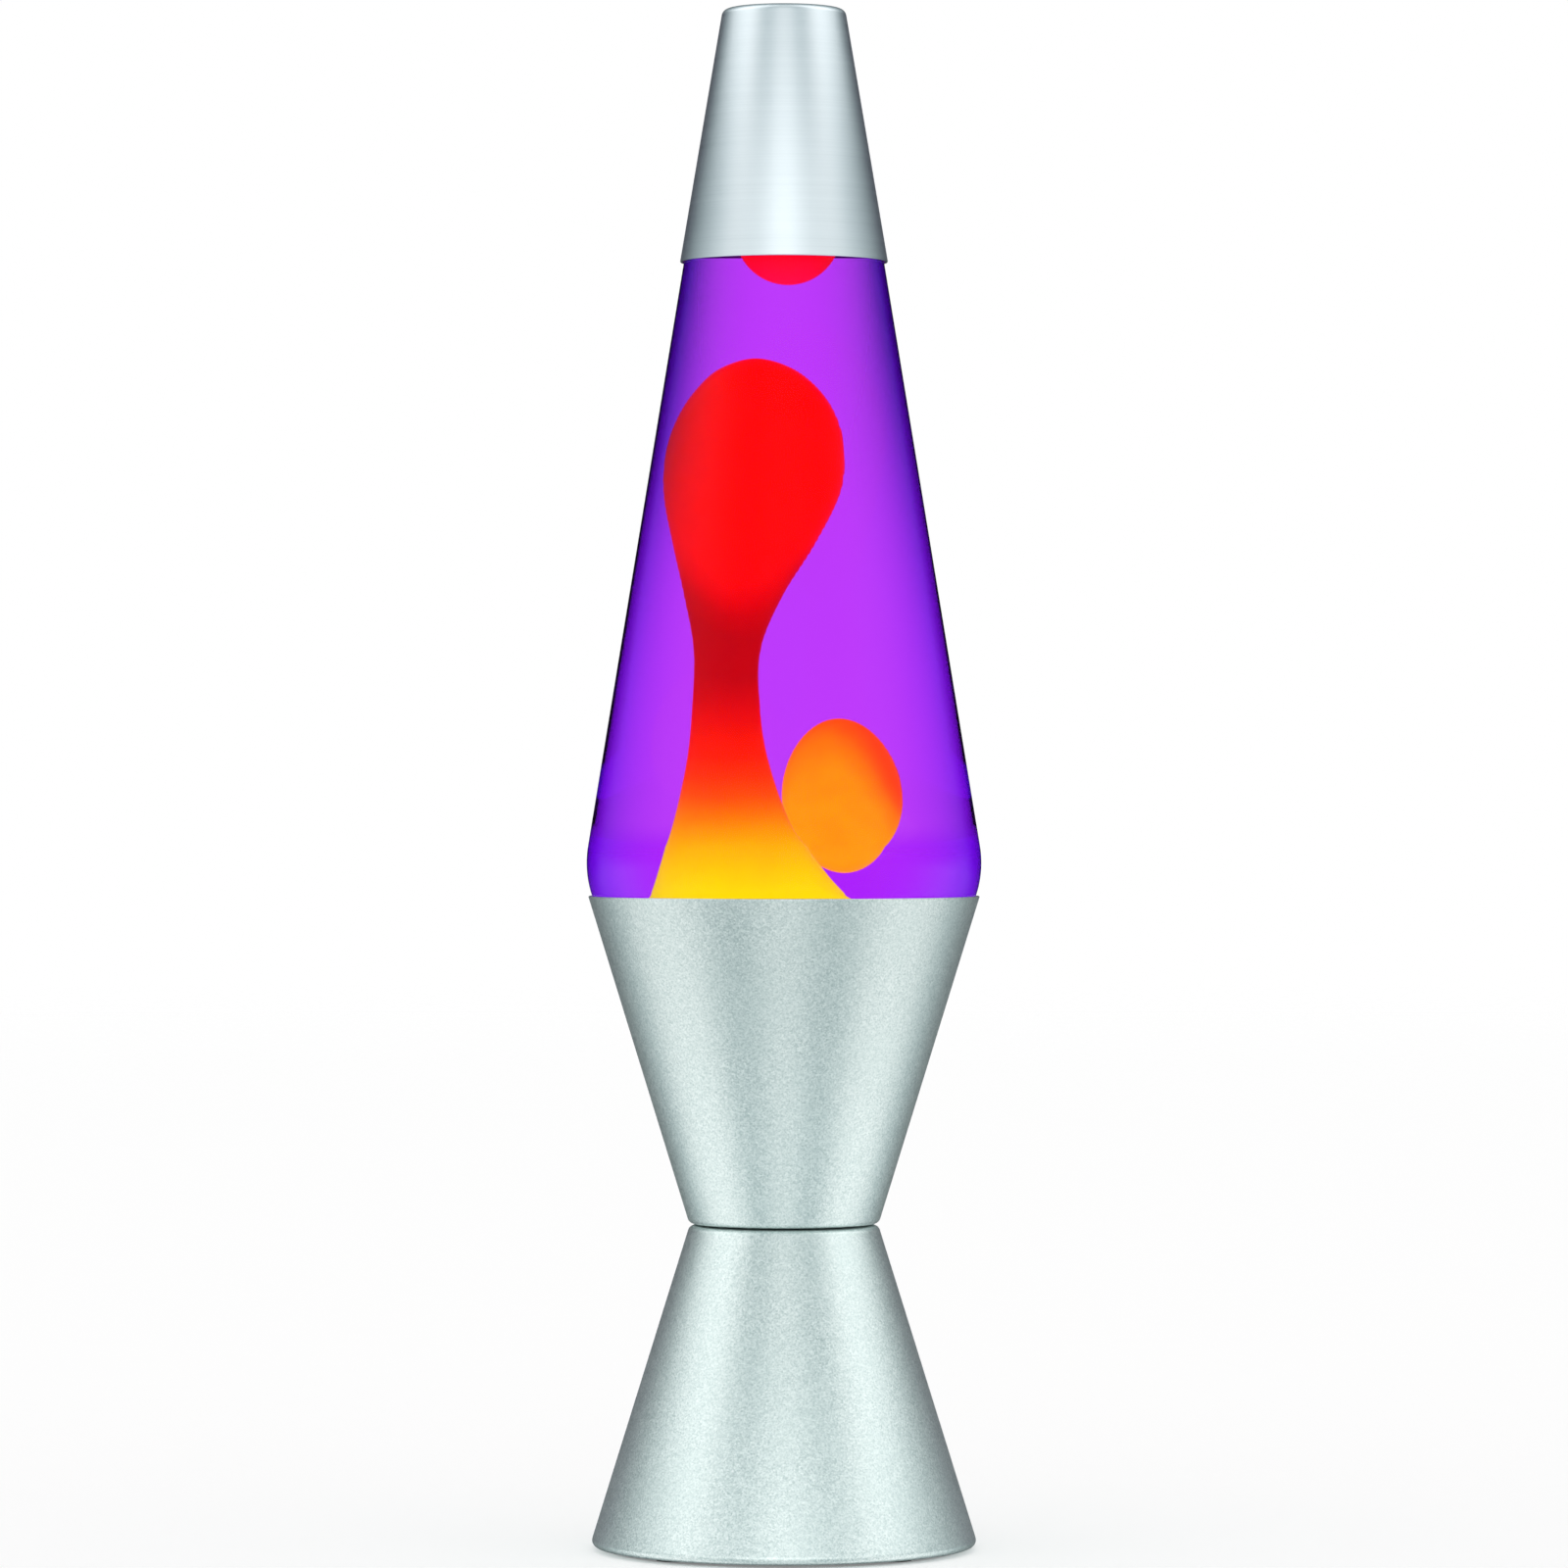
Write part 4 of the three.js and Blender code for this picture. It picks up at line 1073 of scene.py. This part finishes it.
def makeSocket():
    body = lathe([
        (0, socket["bottom"]), (socket["footRadius"], socket["bottom"], 0.6, 4),
        (socket["footRadius"], socket["step"]), (socket["radius"], socket["step"] + 1),
        (socket["radius"], socket["collarBottom"]), (socket["collarRadius"], socket["collarBottom"], 0.3, 3),
        (socket["collarRadius"], socket["top"], 0.8, 5), (socket["inside"], socket["top"], 0.4, 3),
        (socket["inside"], socket["floor"], 0.4, 3), (0, socket["floor"]),
    ], 96)
    holes = [atTerminal(plug(screw["hole"], *screw["drill"]), angle) for angle in (0, math.pi)]
    asPiece("socket_moulding", carve(body, holes), resin, "base", ["socket_body"])
    asPiece("socket_sleeve", threaded(sleeve), brass, "base", ["socket_shell"])
    for side, angle in (("live", 0), ("neutral", math.pi)):
        head = carve(lathe([
            (0, screw["shankFrom"]), (screw["shank"], screw["shankFrom"], 0.2, 2),
            (screw["shank"], screw["headFrom"]), (screw["head"], screw["headFrom"], 0.15, 2),
            (screw["head"], screw["headTop"], 0.4, 4), (screw["domeFlat"], screw["dome"] - 0.1, 1, 3),
            (0, screw["dome"]),
        ], 48), [slotCutter()])
        asPiece(f"screw_{side}", atTerminal(head, angle), brass, "base", [f"terminal_screw_{side}"])


def band(facts, rounds, steps):  # a ring of rectangular section
    low, high = facts["low"], facts["high"]
    corners = zip(("inside", "outside", "outside", "inside"), (low, low, high, high), rounds)
    return lathe([(facts[side], z, *edge) for side, z, edge in corners], steps, closed=True)


def notch(bm, beyond, depthAt):  # sinks the outer wall by a depth that changes on the way round
    for v in bm.verts:
        reach = v.co.xy.length
        if reach > beyond * mm:
            v.co.xy *= 1 - depthAt(math.atan2(v.co.y, v.co.x)) * mm / reach
    return bm


def toothDepth(angle):
    return washer["toothDepth"] * (math.sin(washer["teeth"] * angle) > 0.2)


def ribDepth(angle):
    return clampRing["ribDepth"] * (1 + math.cos(clampRing["ribs"] * angle))


def makeClamp():
    toothed = band(washer, ((), (0.1, 2), (0.1, 2), ()), washer["teeth"] * 8)
    asPiece("lock_washer", notch(toothed, washer["outside"] - 0.5, toothDepth), steel, "base",
            ["socket_lock_washer"])
    ribbed = band(clampRing, ((0.3, 2), (0.7, 4), (0.3, 3), (0.3, 2)), clampRing["ribs"] * 8)
    asPiece("clamp_ring", notch(ribbed, clampRing["outside"] - 1, ribDepth), resin, "base",
            ["socket_ring"])
    floorTop = leadCover["bottom"] + leadCover["floor"]
    asPiece("lead_cover", lathe([
        (leadCover["hole"], leadCover["bottom"], 0.3, 2), (leadCover["outside"], leadCover["bottom"], 2, 8),
        (leadCover["outside"], leadCover["top"], 0.3, 3), (leadCover["inside"], leadCover["top"], 0.3, 3),
        (leadCover["inside"], floorTop, 1, 6), (leadCover["hole"], floorTop, 0.3, 2),
    ], 96, closed=True), resin, "base", ["terminal_cover"])
    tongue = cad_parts["socket_contact"]
    tongue.data.materials.clear()
    tongue.data.materials.append(brass)


makeSocket()
makeClamp()
print("socket clamped")


# bottom plate, feet and cord grommet

plate = {
    "radius": 44.25, "bottom": 1.7, "top": 3.7, "wallTop": 4.9, "wall": 1.6, "vents": 12, "ventWidth": 3.0,
    "ventFrom": 15.5, "ventTo": 29.0, "ventDepth": 6, "ventRound": 0.48,  # round in widths of a vent
}
foot = {"count": 4, "radius": 5.0, "circle": 36.0, "top": 1.7, "dish": 2.4, "dishRim": 0.5, "dishDepth": 0.3}


def mouldedPlastic():
    f = Finish("mouldedPlastic")
    etched = f.grain(1500, 3, 0.6)
    scuff = f.grain(120, 5, 0.7).step(0.58, 0.75)
    tone = f.spread((0.016, 0.016, 0.017), (0.05, 0.05, 0.05), scuff * 0.6)
    return f.plain(tone, etched, 0.52, 0.16, (0.35, 0.00006))


def footRubber():
    f = Finish("footRubber")
    crumb = f.grain(1100, 4, 0.7)
    dust = f.grain(200, 4).step(0.5, 0.75)
    tone = f.spread((0.018, 0.018, 0.018), (0.11, 0.105, 0.1), dust * 0.5)
    return f.plain(tone, crumb, 0.8, 0.15, (0.4, 0.0001))


plastic = mouldedPlastic()


def makeBottom():
    inside = plate["radius"] - plate["wall"]
    disc = lathe([
        (0, plate["bottom"]), (plate["radius"], plate["bottom"], 0.4, 3),
        (plate["radius"], plate["wallTop"], 0.3, 3), (inside, plate["wallTop"], 0.3, 3),
        (inside, plate["top"], 0.5, 3), (0, plate["top"]),
    ], 144)
    vents = bmesh.new()
    length = plate["ventTo"] - plate["ventFrom"]
    for i in range(plate["vents"]):
        made = bmesh.ops.create_cube(vents, size=mm)["verts"]
        bmesh.ops.scale(vents, verts=made, vec=(length, plate["ventWidth"], plate["ventDepth"]))
        upright = dict.fromkeys(e for v in made for e in v.link_edges
                                if abs(e.verts[0].co.z - e.verts[1].co.z) > mm)
        moved(vents, (plate["ventFrom"] + length / 2, 0, plate["bottom"]), made)
        rotated(vents, fullTurn * i / plate["vents"], "Z", made)
        bmesh.ops.bevel(vents, geom=list(upright), offset=plate["ventWidth"] * plate["ventRound"] * mm,
                        affect="EDGES", segments=6, profile=0.5, material=-1)
    asPiece("bottom_cover", carve(disc, [vents]), plastic, "base", ["bottom_plate"])
    rubber = footRubber()
    for i in range(foot["count"]):
        angle = fullTurn * (i + 0.5) / foot["count"]
        pad = lathe([
            (0, foot["dishDepth"]), (foot["dish"], foot["dishDepth"], 0.3, 3),
            (foot["dish"] + foot["dishRim"], 0, 0.3, 3), (foot["radius"], 0, 0.4, 4),
            (foot["radius"], foot["top"]), (0, foot["top"]),
        ], 48)
        moved(pad, (foot["circle"] * math.cos(angle), foot["circle"] * math.sin(angle), 0))
        asPiece(f"rubber_foot_{i + 1}", pad, rubber, "base", [f"foot_{i + 1}"])


def makeGrommet():
    bow = inlet["innerFlange"] ** 2 / (2 * skirtInside(inlet["height"]))
    back = -sheetMetal["sheet"] - inlet["gap"] - bow
    inner, front = back - inlet["flange"], inlet["outerThickness"]
    ring = lathe([
        (inlet["bore"], inner, 0.4, 3), (inlet["innerFlange"], inner, 0.4, 3),
        (inlet["innerFlange"], back, 0.2, 2), (inlet["sleeve"], back), (inlet["sleeve"], inlet["gap"]),
        (inlet["outerFlange"], inlet["gap"], 0.2, 2), (inlet["outerFlange"], front, 0.7, 5),
        (inlet["bore"], front, 0.6, 5),
    ], 72, closed=True)
    asPiece("inlet_grommet", atInlet(ring), plastic, "base", ["cord_grommet"])


makeBottom()
makeGrommet()
print("bottom fitted")
